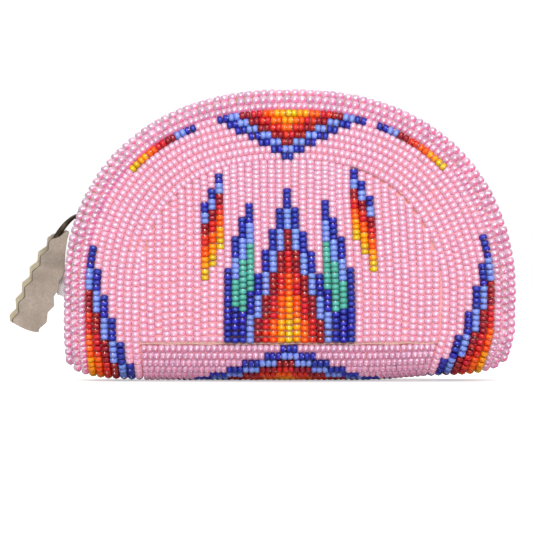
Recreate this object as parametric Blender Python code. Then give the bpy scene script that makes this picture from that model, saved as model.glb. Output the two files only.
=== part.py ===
"""Beaded coin purse: one hide folded at the bottom, covered in lanes of seed beads, with a zip round its arch.

+X runs along the purse, +Y is its back and +Z is up. The origin is on the surface that it stands on, under
the middle of the fold. The beads are modelled as ridged lanes, and each motif as a field of its colour.
"""

import math

import bmesh
import bpy
from mathutils import Matrix, Vector

# Outline of the purse seen from the front, beads included
HALF_LENGTH = 0.0623
WIDEST_HEIGHT = 0.0222
ARCH_RISE = 0.0581
ARCH_POWER = 2.27
SHOULDER = 0.5
CORNER_POWER = 9.0

# Hide and beads
HIDE = 0.0012
BEAD = 0.0021
BEAD_STEP = 0.0016
ROW_STEP = 0.001656
ROW_EASE = 0.0000051
GROOVE = 0.0007
FIT = 0.0003

# Depth of the pouch: the hide's outer face from the mid-plane, low down and at the top
FACE_DEPTH_LOW = 0.0069
FACE_DEPTH_HIGH = 0.0056
PILLOW = 0.016

# Fold at the bottom: flat lengths ahead of and behind the middle, and how high each bend rises
REST_AHEAD = 0.0020
REST_BEHIND = 0.0040
BEND_RISE_AHEAD = 0.0065
BEND_RISE_BEHIND = 0.0045
BEND_POWER = 1.8

# The fold's ends are tucked in below this height, the right one more, and the right one is lifted a little
SETTLE_HEIGHT = 0.014
SETTLE_START = 0.020
SETTLE_RUN = 0.025
LEFT_TUCK = 0.0010
RIGHT_TUCK = 0.0034
RIGHT_LIFT = 0.0012
SETTLE_CUTS = (0.0041, 0.0072, 0.0109, 0.0143)

# Bead lanes: the border's pitch at the sides, its squeeze over the arch, the panel's columns and foot
LANE = 0.00214
ARCH_SQUEEZE = 0.93
BORDER_LANES = 7
COLUMN = 0.0021
PANEL_FOOT = 0.0103
BAND_ROWS = 13

# Zip: the teeth's circle lies this far inside the outline, down to the height of the closed slider
ZIP_SINK = 0.0040
ZIP_END_HEIGHT = 0.0443
TEETH_HALF_WIDTH = 0.0021
TEETH_HEIGHT = 0.0020
TOOTH_PITCH = 0.0030
TAPE = 0.0005
TAIL_INSET = 0.0034
TAIL_FOOT = 0.0105
TAIL_RUN = 0.012
STOP_LENGTH = 0.0016

# Slider
SLIDER_WIDTH = 0.0064
SLIDER_LENGTH = 0.0088
SLIDER_PLATE = 0.0008
POST_WIDTH = 0.0005
BRIDGE_WIDTH = 0.0018
BRIDGE_SPAN = 0.0062
BRIDGE_BAR = 0.0008

# Pull tab
PIN = 0.0008
PULL_LENGTH = 0.0102
PULL_THICKNESS = 0.0009
PULL_RAIL = 0.0008
PULL_LEAN = math.radians(74.0)

# Suede strip
SUEDE = 0.0008
LAYER_GAP = 0.0003
STRIP_WIDTH = 0.0086
STRIP_OFFSET = 0.0023
STRIP_LENGTH = 0.0256
STRIP_TOP = 0.0027
STRIP_LEAN = math.radians(22.0)
PINK_PITCH = 0.0048
PINK_DEPTH = 0.0010
LAYER_SHIFT = 0.0009

# Motifs, counted in columns or lanes and in beads
MOUNTAIN_BEADS = 28
MOUNTAIN_COLUMNS = 4
STEP_BEADS = 4
PLUME_TOPS = (25, 22, 18, 13)
PLUME_CORE = ((8, 17), (5, 14), (6, 10))
FEATHER_COLUMN = 9
FEATHER_DROPS = (0, 2, 5)
FEATHER_BANDS = (("dark_blue", 0, 4), ("red", 4, 8), ("amber", 8, 14))
LEFT_FLAME_TOP = 0.0377
RIGHT_FLAME_TOP = 0.0396
FLAME_STEP = 4
FLAME_BANDS = (("dark_blue", 0, 8), ("red", 8, 16), ("amber", 16, None))
TRIANGLE_BANDS = (("dark_blue", 13, 9), ("red", 9, 5), ("amber", 5, None))
DIAMOND_BANDS = (("dark_blue", 0, 6), ("red", 6, 12), ("amber", 12, None))
STREAK_SPAN = (0.43, 0.70)
FIELD_GAP = 0.0006

# Worked out from the sizes above
AHEAD, BEHIND = -1, 1
FLOOR = BEAD
TOP = WIDEST_HEIGHT + ARCH_RISE
HIDE_INSET = BEAD + FIT
BORDER_START = HIDE_INSET + 1.7 * LANE
PANEL_INSET = BORDER_START + BORDER_LANES * LANE
PANEL_HALF = HALF_LENGTH - PANEL_INSET
COLUMNS = int((PANEL_HALF - COLUMN / 2) / COLUMN)
STRIP_HALF = SUEDE + LAYER_GAP / 2
SIDE_GAP = STRIP_HALF + 0.0005 + BEAD / 6
ZIP_GAP = SLIDER_WIDTH / 2 + 0.00035 + BEAD / 6
REST = {AHEAD: REST_AHEAD, BEHIND: REST_BEHIND}
BEND_RISE = {AHEAD: BEND_RISE_AHEAD, BEHIND: BEND_RISE_BEHIND}

COLOURS = {
    "hide": ((0.80, 0.74, 0.62), 0.85, 0.0),
    "pink": ((0.90, 0.45, 0.60), 0.35, 0.0),
    "dark_blue": ((0.03, 0.05, 0.45), 0.30, 0.0),
    "light_blue": ((0.30, 0.42, 0.85), 0.35, 0.0),
    "burgundy": ((0.25, 0.01, 0.03), 0.30, 0.0),
    "red": ((0.65, 0.03, 0.03), 0.30, 0.0),
    "orange": ((0.85, 0.20, 0.02), 0.30, 0.0),
    "amber": ((0.85, 0.42, 0.03), 0.30, 0.0),
    "yellow": ((0.80, 0.62, 0.05), 0.30, 0.0),
    "turquoise": ((0.05, 0.50, 0.40), 0.35, 0.0),
    "tape": ((0.78, 0.74, 0.68), 0.90, 0.0),
    "gunmetal": ((0.16, 0.14, 0.11), 0.40, 1.0),
    "suede": ((0.42, 0.36, 0.30), 0.95, 0.0),
}
FIRE = ("dark_blue", "light_blue", "burgundy", "red", "orange", "amber", "yellow")


def clear_scene():
    for thing in list(bpy.data.objects):
        bpy.data.objects.remove(thing)


def new_collection(name):
    collection = bpy.data.collections.new(name)
    bpy.context.scene.collection.children.link(collection)
    return collection


def principled(name, colour, roughness, metallic):
    material = bpy.data.materials.new(name)
    material.use_nodes = True
    shader = material.node_tree.nodes["Principled BSDF"]
    shader.inputs["Base Color"].default_value = (*colour, 1.0)
    shader.inputs["Roughness"].default_value = roughness
    shader.inputs["Metallic"].default_value = metallic
    material.diffuse_color = (*colour, 1.0)
    return material


def add_object(name, mesh, material, collection):
    thing = bpy.data.objects.new(name, mesh)
    thing.data.materials.append(MATERIALS[material])
    collection.objects.link(thing)
    return thing


def loft(name, rings, material, collection, closed=False):
    """A closed body through rings of points that all have the same count; open ends are capped."""
    mesh = bpy.data.meshes.new(name)
    shape = bmesh.new()
    rows = [[shape.verts.new(point) for point in ring] for ring in rings]
    following = rows[1:] + rows[:1] if closed else rows[1:]
    for row, after in zip(rows, following):
        for i in range(len(row)):
            j = (i + 1) % len(row)
            shape.faces.new((row[i], row[j], after[j], after[i]))
    if not closed:
        shape.faces.new(rows[0][::-1])
        shape.faces.new(rows[-1])
    bmesh.ops.recalc_face_normals(shape, faces=shape.faces)
    shape.to_mesh(mesh)
    shape.free()
    mesh.shade_smooth()
    mesh.set_sharp_from_angle(angle=math.radians(50))
    return add_object(name, mesh, material, collection)


def ribbon_block(name, outer, inner):
    """A cutter between two grids of points that have the same shape."""
    mesh = bpy.data.meshes.new(name)
    shape = bmesh.new()
    rows, columns = len(outer), len(outer[0])
    high = [[shape.verts.new(point) for point in row] for row in outer]
    low = [[shape.verts.new(point) for point in row] for row in inner]
    for i in range(rows - 1):
        for j in range(columns - 1):
            shape.faces.new((high[i][j], high[i + 1][j], high[i + 1][j + 1], high[i][j + 1]))
            shape.faces.new((low[i][j], low[i][j + 1], low[i + 1][j + 1], low[i + 1][j]))
    for i in range(rows - 1):
        for j in (0, -1):
            shape.faces.new((high[i][j], high[i + 1][j], low[i + 1][j], low[i][j]))
    for j in range(columns - 1):
        for i in (0, -1):
            shape.faces.new((high[i][j], high[i][j + 1], low[i][j + 1], low[i][j]))
    bmesh.ops.recalc_face_normals(shape, faces=shape.faces)
    shape.to_mesh(mesh)
    shape.free()
    return hide_helper(add_object(name, mesh, "hide", CUTTERS))


def plate(name, outline, y_low, y_high, material, collection):
    """A flat outline in X and Z, given depth along Y: a filled 2D curve, made a mesh."""
    curve = bpy.data.curves.new(name, "CURVE")
    curve.dimensions = "2D"
    curve.fill_mode = "BOTH"
    curve.extrude = (y_high - y_low) / 2
    spline = curve.splines.new("POLY")
    spline.points.add(len(outline) - 1)
    for point, (x, z) in zip(spline.points, outline):
        point.co = (x, z, 0.0, 1.0)
    spline.use_cyclic_u = True
    guide = bpy.data.objects.new(name, curve)
    bpy.context.scene.collection.objects.link(guide)
    graph = bpy.context.evaluated_depsgraph_get()
    mesh = bpy.data.meshes.new_from_object(guide.evaluated_get(graph))
    bpy.data.objects.remove(guide)
    bpy.data.curves.remove(curve)
    shape = bmesh.new()
    shape.from_mesh(mesh)
    bmesh.ops.remove_doubles(shape, verts=shape.verts, dist=1e-6)
    upright = Matrix.Translation((0, (y_low + y_high) / 2, 0)) @ Matrix.Rotation(math.pi / 2, 4, "X")
    bmesh.ops.transform(shape, matrix=upright, verts=shape.verts)
    bmesh.ops.recalc_face_normals(shape, faces=shape.faces)
    shape.to_mesh(mesh)
    shape.free()
    return add_object(name, mesh, material, collection)


def cutter(name, outline, y_low, y_high):
    return hide_helper(plate(name, outline, y_low, y_high, "hide", CUTTERS))


def combine(thing, other, operation):
    modifier = thing.modifiers.new(operation.title(), "BOOLEAN")
    modifier.operation = operation
    modifier.object = other
    modifier.solver = "EXACT"


def hide_helper(thing):
    thing.hide_render = True
    thing.display_type = "WIRE"
    return thing


def clamp(value):
    return min(max(value, 0.0), 1.0)


def smooth(value):
    value = clamp(value)
    return value * value * (3 - 2 * value)


def arch_power(inset):
    """The arch's exponent: the inner lanes are a little squarer at the shoulders."""
    return ARCH_POWER + SHOULDER * inset / HALF_LENGTH


def arch_height(x, inset):
    """Height of the arch curve that lies inset from the outline, above the point x."""
    across = clamp(abs(x) / (HALF_LENGTH - inset))
    rise = ARCH_RISE - ARCH_SQUEEZE * inset
    power = arch_power(inset)
    return WIDEST_HEIGHT + rise * (1 - across**power) ** (1 / power)


def arch_reach(z, inset):
    """Half-length of the same curve at a height, and of the upright side below its widest point."""
    above = clamp((z - WIDEST_HEIGHT) / (ARCH_RISE - ARCH_SQUEEZE * inset))
    power = arch_power(inset)
    return (HALF_LENGTH - inset) * (1 - above**power) ** (1 / power)


def corner_rise(x):
    """How far the fold's underside curves up near its ends."""
    across = clamp(abs(x) / HALF_LENGTH)
    return WIDEST_HEIGHT * (1 - (1 - across**CORNER_POWER) ** (1 / CORNER_POWER))


def zip_circle():
    """Radius and centre height of the circle through the arch's top and the zip's two ends."""
    top = TOP - ZIP_SINK
    reach = arch_reach(ZIP_END_HEIGHT, ZIP_SINK)
    centre = (top**2 - reach**2 - ZIP_END_HEIGHT**2) / (2 * (top - ZIP_END_HEIGHT))
    return top - centre, centre


ZIP_RADIUS, ZIP_CENTRE = zip_circle()
CLOSED_ANGLE = math.pi - math.asin((ZIP_END_HEIGHT - ZIP_CENTRE) / ZIP_RADIUS)
SLIDER_HALF_ANGLE = SLIDER_LENGTH / 2 / ZIP_RADIUS
STOP_ANGLE = STOP_LENGTH / ZIP_RADIUS
TAPE_END_ANGLE = CLOSED_ANGLE + SLIDER_HALF_ANGLE + 2.2 * STOP_ANGLE
JOIN_HIGH = ZIP_CENTRE + ZIP_RADIUS * math.sin(TAPE_END_ANGLE)
JOIN_LOW = JOIN_HIGH - TAIL_RUN


def rim_gap(z):
    """Half the gap between the hide's two edges: wide at the zip, narrow below its ends."""
    return SIDE_GAP + (ZIP_GAP - SIDE_GAP) * smooth((z - JOIN_LOW) / (JOIN_HIGH - JOIN_LOW))


def half_depth(x, z):
    """Depth of the hide's outer face from the mid-plane: a soft pillow that thins to its rim."""
    across = clamp(abs(x) / HALF_LENGTH) ** ARCH_POWER
    above = clamp((z - WIDEST_HEIGHT) / ARCH_RISE) ** ARCH_POWER
    inset = (1 - (across + above) ** (1 / ARCH_POWER)) * HALF_LENGTH
    near_rim = clamp(1 - (inset - HIDE_INSET) / PILLOW)
    face = FACE_DEPTH_LOW + (FACE_DEPTH_HIGH - FACE_DEPTH_LOW) * z / TOP
    return face - (face - HIDE - rim_gap(z)) * near_rim**2


def settled(point):
    """Where a point of the plain shape lies in the soft purse: the fold's ends are drawn in."""
    low = clamp(1 - point.z / SETTLE_HEIGHT) ** 1.3
    end = smooth((abs(point.x) - SETTLE_START) / SETTLE_RUN) * low
    if point.x > 0:
        return Vector((point.x - RIGHT_TUCK * end, point.y, point.z + RIGHT_LIFT * end))
    return Vector((point.x + LEFT_TUCK * end, point.y, point.z))


def bend_length(side):
    reach = FACE_DEPTH_LOW - REST[side]
    return math.pi / 2 * math.sqrt((reach**2 + BEND_RISE[side] ** 2) / 2)


def travel_at(z, side):
    """Distance along the hide from the middle of the fold up to a height on the face."""
    return REST[side] + bend_length(side) + z - FLOOR - BEND_RISE[side]


def section(x, travel, side, lift):
    """Point at a distance along the hide from the middle of the fold, lifted off its outer face."""
    turn = clamp((travel - REST[side]) / bend_length(side)) * math.pi / 2
    climb = 1 - math.cos(turn) ** (2 / BEND_POWER)
    straight = max(0.0, travel - REST[side] - bend_length(side))
    z = FLOOR - lift + (BEND_RISE[side] + lift) * climb + straight
    z += corner_rise(x) * clamp(1 - z / WIDEST_HEIGHT)
    flat = REST[side] / FACE_DEPTH_LOW
    spread = flat * min(travel / REST[side], 1.0) + (1 - flat) * math.sin(turn) ** (2 / BEND_POWER)
    return Vector((x, side * (half_depth(x, z) + lift) * spread, z))


def face_point(x, z, side, lift):
    return Vector((x, side * (half_depth(x, z) + lift), z))


def lane_lift(place):
    """Height of a lane's ridge: places count half lanes, so odd ones are crests."""
    return BEAD if place % 2 else BEAD - GROOVE


def slab_ring(point_at, places):
    """Cross-section of a bead sheet: its ridged outer side, then its plain inner side."""
    outer = [point_at(place, lane_lift(i)) for i, place in enumerate(places)]
    inner = [point_at(places[-1], FIT), point_at(places[0], FIT)]
    middle = places[len(places) // 2]
    inner.insert(1, point_at(middle, FIT))
    return outer + inner


def fold_travels(side, steps):
    """Distances from the middle of the fold up to the face, closer together round the bend."""
    bend = bend_length(side)
    travels = [0.0] + [REST[side] + bend * i / steps for i in range(steps + 1)]
    return travels + [travel_at(WIDEST_HEIGHT, side)]


def build_hide():
    stations = 22
    bend_steps = 4
    face_steps = 5
    rings = []
    for i in range(stations + 1):
        x = (HALF_LENGTH - HIDE_INSET) * math.sin(math.pi * (i / stations - 0.5))
        edge = arch_height(x, HIDE_INSET)
        walls = []
        for side in (AHEAD, BEHIND):
            start = travel_at(FLOOR + BEND_RISE[side], side)
            rows = [start + (travel_at(edge, side) - start) * j / face_steps for j in range(face_steps, 0, -1)]
            rows += fold_travels(side, bend_steps)[-2:0:-1]
            walls.append([(side, travel) for travel in rows])
        route = walls[0] + walls[1][::-1]
        outer = [section(x, travel, side, 0.0) for side, travel in route]
        inner = [section(x, travel, side, -HIDE) for side, travel in route]
        rings.append(outer + inner[::-1])
    return loft("hide_shell", rings, "hide", PURSE)


def loop_stations(arch_steps, bend_steps):
    """Stations of a lane that runs round the front arch, under the fold and round the back arch."""
    stations = []
    for side, start, end in ((AHEAD, -1, 1), (BEHIND, 1, -1)):
        rise = fold_travels(side, bend_steps)
        stations += [(side, start, travel, None) for travel in rise[1:]]
        for i in range(1, arch_steps):
            angle = math.pi * (1 - i / arch_steps) if start < 0 else math.pi * i / arch_steps
            stations.append((side, start, None, angle))
        stations += [(side, end, travel, None) for travel in rise[:0:-1]]
        stations.append((side, end, 0.0, None))
    return stations


def loop_point(station, inset, lift):
    side, end, travel, angle = station
    if travel is not None:
        return section(end * (HALF_LENGTH - inset), travel, side, lift)
    power = 2 / arch_power(inset)
    x = math.copysign(abs(math.cos(angle)) ** power, math.cos(angle)) * (HALF_LENGTH - inset)
    z = WIDEST_HEIGHT + math.sin(angle) ** power * (ARCH_RISE - ARCH_SQUEEZE * inset)
    return face_point(x, z, side, lift)


def build_loop_sheet(name, insets, collection):
    rings = []
    for station in loop_stations(20, 4):
        rings.append(slab_ring(lambda inset, lift: loop_point(station, inset, lift), insets))
    return loft(name, rings, "pink", collection, closed=True)


def build_edge_beads():
    """The row rolled over the raw edge, as one closed rope of beads."""
    curve = bpy.data.curves.new("edge_beads", "CURVE")
    curve.dimensions = "3D"
    curve.bevel_depth = BEAD / 2 - FIT / 6
    curve.bevel_resolution = 1
    stations = loop_stations(24, 4)
    spline = curve.splines.new("POLY")
    spline.points.add(len(stations) - 1)
    for point, station in zip(spline.points, stations):
        place = loop_point(station, BEAD / 2, BEAD / 2)
        outer = half_depth(place.x, place.z) + BEAD / 2
        place.y *= (rim_gap(place.z) + BEAD / 3) / outer
        point.co = (*place, 1.0)
    spline.use_cyclic_u = True
    rope = bpy.data.objects.new("edge_beads", curve)
    rope.data.materials.append(MATERIALS["pink"])
    PURSE.objects.link(rope)
    return rope


def build_panel(name, side, collection):
    foot = PANEL_FOOT
    steps = 4
    rings = []
    for i in range(4 * COLUMNS + 3):
        x = (i / 2 - COLUMNS - 0.5) * COLUMN
        top = arch_height(x, PANEL_INSET + FIT)
        heights = [foot + (top - foot) * j / steps for j in range(steps + 1)]
        outer = [face_point(x, z, side, lane_lift(i)) for z in heights]
        inner = [face_point(x, z, side, FIT) for z in reversed(heights)]
        rings.append(outer + inner)
    return loft(name, rings, "pink", collection)


def band_travels(side):
    """Half-lane places of the bottom band, from the middle of the fold up one face."""
    reach = travel_at(PANEL_FOOT - FIT, side)
    return [reach * i / BAND_ROWS for i in range(BAND_ROWS + 1)]


def build_bottom_sheet(collection):
    """Level lanes under the fold; those that it stands on are pressed flat."""
    half = PANEL_HALF - FIT
    places = [(AHEAD, travel) for travel in band_travels(AHEAD)[::-1]]
    places += [(BEHIND, travel) for travel in band_travels(BEHIND)[1:]]
    steps = 8
    rings = []
    for i in range(steps + 1):
        x = half * (2 * i / steps - 1)
        outer = []
        for j, (side, travel) in enumerate(places):
            pressed = travel <= REST[side] + FIT
            outer.append(section(x, travel, side, BEAD if pressed else lane_lift(j)))
        inner = [section(x, travel, side, FIT) for side, travel in places[::-2]]
        rings.append(outer + inner)
    return loft("bottom_sheet", rings, "pink", collection)


def mirrored(outline):
    return [(-x, z) for x, z in outline][::-1]


def row_height(rows):
    """Height of so many rows of the panel: each row is strung a little closer than the one below."""
    return PANEL_FOOT + rows * (ROW_STEP - ROW_EASE * rows)


def rows_below(z):
    """How many whole rows of the panel lie below a height."""
    root = math.sqrt(ROW_STEP**2 - 4 * ROW_EASE * (z - PANEL_FOOT))
    return int((ROW_STEP - root) / (2 * ROW_EASE))


def mountain_outline(level, grow):
    """The stepped mountain below a colour's upper edge, widened by grow."""
    reach = min(MOUNTAIN_COLUMNS, len(FIRE) - 1 - level)
    riser = 0.3 * COLUMN
    right = []
    for k in range(reach + 1):
        top = row_height(MOUNTAIN_BEADS - STEP_BEADS * (k + level)) + grow
        edge = (k + 0.5) * COLUMN
        if k:
            right.append((edge - COLUMN + riser, top))
        right.append((edge - riser if k < reach else edge + grow / 4 - FIT / 4, top))
    right.append((right[-1][0], PANEL_FOOT - BEAD))
    return mirrored(right) + right


def staircase(levels, start, first, grow, upper):
    """Points along a stair with one level for each column, moved outwards by grow."""
    points = []
    left = start
    for k, level in enumerate(levels):
        right = (first + 0.5 + k) * COLUMN + grow
        if k < len(levels) - 1 and (levels[k + 1] < level) != upper:
            right -= 2 * grow
        z = row_height(level) + (grow if upper else -grow)
        points += [(left, z), (right, z)]
        left = right
    return points


def plume_outline(sign, grow):
    first = MOUNTAIN_COLUMNS + 1
    left = (first - 0.5) * COLUMN + FIT / 2 - grow
    outline = [(left, PANEL_FOOT - BEAD)] + staircase(PLUME_TOPS, left, first, grow, True)
    outline.append((outline[-1][0], PANEL_FOOT - BEAD))
    return outline if sign > 0 else mirrored(outline)


def core_outline(sign, grow):
    """The plume's core; grown into a pocket, it also opens the plume's inner side."""
    first = MOUNTAIN_COLUMNS + 1
    left = (first - 0.5) * COLUMN + (FIT / 2 if grow == 0 else -FIT)
    lower = staircase([low for low, _ in PLUME_CORE], left, first, grow, False)
    outline = staircase([high for _, high in PLUME_CORE], left, first, grow, True) + lower[::-1]
    return outline if sign > 0 else mirrored(outline)


def feather_outline(sign, first, last, grow):
    """Part of a feather, from one bead below its tops to another."""
    left = (FEATHER_COLUMN - 0.5) * COLUMN - grow
    highest = arch_height((FEATHER_COLUMN + 0.5) * COLUMN, PANEL_INSET + FIT) - BEAD_STEP / 2
    tops = [rows_below(highest) - drop for drop in FEATHER_DROPS]
    lower = staircase([top - last for top in tops], left, FEATHER_COLUMN, grow, False)
    upper = staircase([top - first for top in tops], left, FEATHER_COLUMN, grow, True)
    outline = upper + lower[::-1]
    return outline if sign > 0 else mirrored(outline)


def lane_point(end, inset, travel, side, lift):
    """Point on a border lane's side, at a distance from the middle of the fold."""
    z = FLOOR + BEND_RISE[side] + travel - REST[side] - bend_length(side)
    return section(end * arch_reach(max(z, WIDEST_HEIGHT), inset), travel, side, lift)


def flame_cutter(name, end, beads_down, grow):
    """Border lanes near the fold, each reaching fewer beads up both faces than the lane outside it."""
    steps = 8
    fractions = [(AHEAD, i / steps) for i in range(steps, 0, -1)]
    fractions += [(BEHIND, i / steps) for i in range(steps + 1)]
    top = RIGHT_FLAME_TOP if end > 0 else LEFT_FLAME_TOP
    whole = None
    for lane in range(BORDER_LANES):
        reach = travel_at(top, AHEAD) + grow - BEAD_STEP * (beads_down + FLAME_STEP * lane)
        if reach < BEAD_STEP / 3:
            break
        beyond = FIT * (lane % 2)
        start = BORDER_START + lane * LANE + (grow - FIT / 3 if lane else -BEAD)
        outer, inner = [], []
        for inset in (start, BORDER_START + (lane + 1) * LANE + grow):
            place = [(side, reach * part) for side, part in fractions]
            outer.append([lane_point(end, inset, travel, side, 1.5 * BEAD + beyond) for side, travel in place])
            inner.append([lane_point(end, inset, travel, side, -HIDE / 2 - beyond) for side, travel in place])
        block = ribbon_block(f"{name}_{lane}", outer, inner)
        if whole:
            combine(whole, block, "UNION")
        else:
            whole = block
    return whole


def triangle_outline(beads, grow):
    """The arch triangle's part that reaches so many beads from the middle in the outermost lane."""
    right = [(beads * BEAD_STEP + grow, TOP)]
    lane = 0
    while beads - 2 * lane > 0:
        half = (beads - 2 * lane) * BEAD_STEP + grow
        after = (beads - 2 * (lane + 1)) * BEAD_STEP + grow
        inset = BORDER_START + (lane + 1) * LANE
        right.append((half, arch_height(half, inset) - grow))
        if after > grow:
            right.append((after, arch_height(after, inset) - grow))
        lane += 1
    return right + mirrored(right)


def streak_outline(sign, grow):
    """A stretch of the border's outermost lane, part of the way down the arch."""
    near, far = (share * HALF_LENGTH for share in STREAK_SPAN)
    steps = 4
    places = [near - grow + (far - near + 2 * grow) * i / steps for i in range(steps + 1)]
    outer = [(x, arch_height(x, BORDER_START) + BEAD / 2) for x in places]
    inner = [(x, arch_height(x, BORDER_START + LANE) - grow) for x in reversed(places)]
    outline = outer + inner
    return outline if sign > 0 else mirrored(outline)


def diamond_cutter(name, beads_in, grow):
    """The bottom diamond less a margin of beads: it widens down the face and spans the fold."""
    pitch = {side: travel_at(PANEL_FOOT - FIT, side) / BAND_ROWS for side in (AHEAD, BEHIND)}
    margin = grow / pitch[AHEAD]
    stops = []
    for row in range(BAND_ROWS):
        half = (1.5 * (2 * min(row, BAND_ROWS - 1 - row) + 1) - beads_in) * BEAD_STEP + grow
        if half > grow + FIT:
            start = BAND_ROWS - 2 * row - 0.1 + (margin if 2 * row < BAND_ROWS else -margin)
            end = BAND_ROWS - 2 * row - 1.9 + (margin if 2 * row + 2 < BAND_ROWS else -margin)
            stops += [(start, half), (end, half)]
    if beads_in == 0:
        stops[0] = (stops[0][0] - 0.6, stops[0][1])
        stops[-1] = (stops[-1][0] + 0.6, stops[-1][1])
    outer, inner = [], []
    for place, half in stops:
        side = AHEAD if place > 0 else BEHIND
        travel = abs(place) * pitch[side]
        outer.append([section(x, travel, side, 1.5 * BEAD) for x in (-half, half)])
        inner.append([section(x, travel, side, -HIDE / 2) for x in (-half, half)])
    return ribbon_block(name, outer, inner)


def through_front(name, outline):
    return cutter(name, outline, -HALF_LENGTH, 0.0)


def field(name, sheet, inside, material, holes=()):
    """The part of a bead sheet inside one cutter and outside others, as a body of its own."""
    piece = add_object(name, sheet.data.copy(), material, PURSE)
    piece.data.materials.clear()
    piece.data.materials.append(MATERIALS[material])
    combine(piece, inside, "INTERSECT")
    for hole in holes:
        combine(piece, hole, "DIFFERENCE")
    return piece


def quarter(name, x_low, x_high, y_low, y_high):
    """A block over part of the purse, from under its fold to over its arch."""
    corners = [(x_low, -BEAD), (x_high, -BEAD), (x_high, TOP + BEAD), (x_low, TOP + BEAD)]
    return cutter(name, corners, y_low, y_high)


def build_panel_motifs(sheet):
    """Mountain, plumes and feathers of the front panel, and the pink ground round them."""
    for level, colour in enumerate(FIRE):
        inside = through_front(f"inside_{colour}", mountain_outline(level, 0.0))
        holes = []
        if level + 1 < len(FIRE):
            holes.append(through_front(f"below_{colour}", mountain_outline(level + 1, FIELD_GAP)))
        field(f"mountain_{colour}", sheet, inside, colour, holes)
    pockets = [through_front("mountain_pocket", mountain_outline(0, FIELD_GAP))]
    for word, sign in (("left", -1), ("right", 1)):
        inside = through_front(f"{word}_plume", plume_outline(sign, 0.0))
        core = through_front(f"{word}_core", core_outline(sign, 0.0))
        pocket = through_front(f"{word}_core_pocket", core_outline(sign, FIT))
        field(f"{word}_plume_blue", sheet, inside, "dark_blue", [pocket])
        field(f"{word}_plume_turquoise", sheet, core, "turquoise")
        pockets.append(through_front(f"{word}_plume_pocket", plume_outline(sign, FIT)))
        for colour, first, last in FEATHER_BANDS:
            inside = through_front(f"{word}_feather_{first}", feather_outline(sign, first, last, -FIT / 2))
            field(f"{word}_feather_{colour}", sheet, inside, colour)
        whole = feather_outline(sign, 0, FEATHER_BANDS[-1][2], FIT / 2)
        pockets.append(through_front(f"{word}_feather_pocket", whole))
    whole = quarter("front_half", -HALF_LENGTH, HALF_LENGTH, -HALF_LENGTH, 0.0)
    field("front_panel_beads", sheet, whole, "pink", pockets)


def build_border_motifs(sheet):
    """Corner flames, arch triangle and streaks of the border, and the pink ground round them."""
    pockets = []
    for word, end in (("left", -1), ("right", 1)):
        for colour, first, last in FLAME_BANDS:
            inside = flame_cutter(f"{word}_flame_{first}", end, first, 0.0)
            holes = [flame_cutter(f"{word}_flame_pocket_{last}", end, last, FIT)] if last else []
            field(f"{word}_flame_{colour}", sheet, inside, colour, holes)
        pockets.append(flame_cutter(f"{word}_flame_pocket", end, 0, FIT))
        inside = through_front(f"inside_{word}_streak", streak_outline(end, 0.0))
        field(f"{word}_streak", sheet, inside, "red")
        pockets.append(through_front(f"{word}_streak_pocket", streak_outline(end, FIT)))
    for colour, beads, inner_beads in TRIANGLE_BANDS:
        inside = through_front(f"inside_triangle_{beads}", triangle_outline(beads, 0.0))
        holes = []
        if inner_beads:
            holes.append(through_front(f"below_triangle_{beads}", triangle_outline(inner_beads, FIT)))
        field(f"arch_triangle_{colour}", sheet, inside, colour, holes)
    pockets.append(through_front("triangle_pocket", triangle_outline(TRIANGLE_BANDS[0][1], FIT)))
    left = quarter("left_front", -HALF_LENGTH, 0.0, -HALF_LENGTH, 0.0)
    right = quarter("right_front", 0.0, HALF_LENGTH, -HALF_LENGTH, 0.0)
    back = quarter("whole_back", -HALF_LENGTH, HALF_LENGTH, 0.0, HALF_LENGTH)
    field("border_beads_left", sheet, left, "pink", pockets)
    field("border_beads_right", sheet, right, "pink", pockets)
    field("border_beads_back", sheet, back, "pink", pockets)


def build_bottom_motifs(sheet):
    for colour, margin, inner_margin in DIAMOND_BANDS:
        inside = diamond_cutter(f"inside_diamond_{margin}", margin, 0.0)
        holes = [diamond_cutter(f"below_diamond_{margin}", inner_margin, FIT)] if inner_margin else []
        field(f"bottom_diamond_{colour}", sheet, inside, colour, holes)
    whole = quarter("whole_bottom", -HALF_LENGTH, HALF_LENGTH, -HALF_LENGTH, HALF_LENGTH)
    field("bottom_beads", sheet, whole, "pink", [diamond_cutter("diamond_pocket", 0, FIT)])


def settle(thing):
    """Makes a piece's cuts final, then moves its points near the ends of the fold."""
    graph = bpy.context.evaluated_depsgraph_get()
    mesh = bpy.data.meshes.new_from_object(thing.evaluated_get(graph))
    shape = bmesh.new()
    shape.from_mesh(mesh)
    for level in SETTLE_CUTS:
        everything = shape.verts[:] + shape.edges[:] + shape.faces[:]
        bmesh.ops.bisect_plane(shape, geom=everything, plane_co=(0, 0, level), plane_no=(0, 0, 1), dist=1e-6)
    bmesh.ops.triangulate(shape, faces=shape.faces)
    for point in shape.verts:
        point.co = settled(point.co)
    shape.to_mesh(mesh)
    shape.free()
    name = thing.name
    bpy.data.objects.remove(thing)
    mesh.name = name
    PURSE.objects.link(bpy.data.objects.new(name, mesh))


def on_circle(angle, y, radius):
    return Vector((radius * math.cos(angle), y, ZIP_CENTRE + radius * math.sin(angle)))


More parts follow.
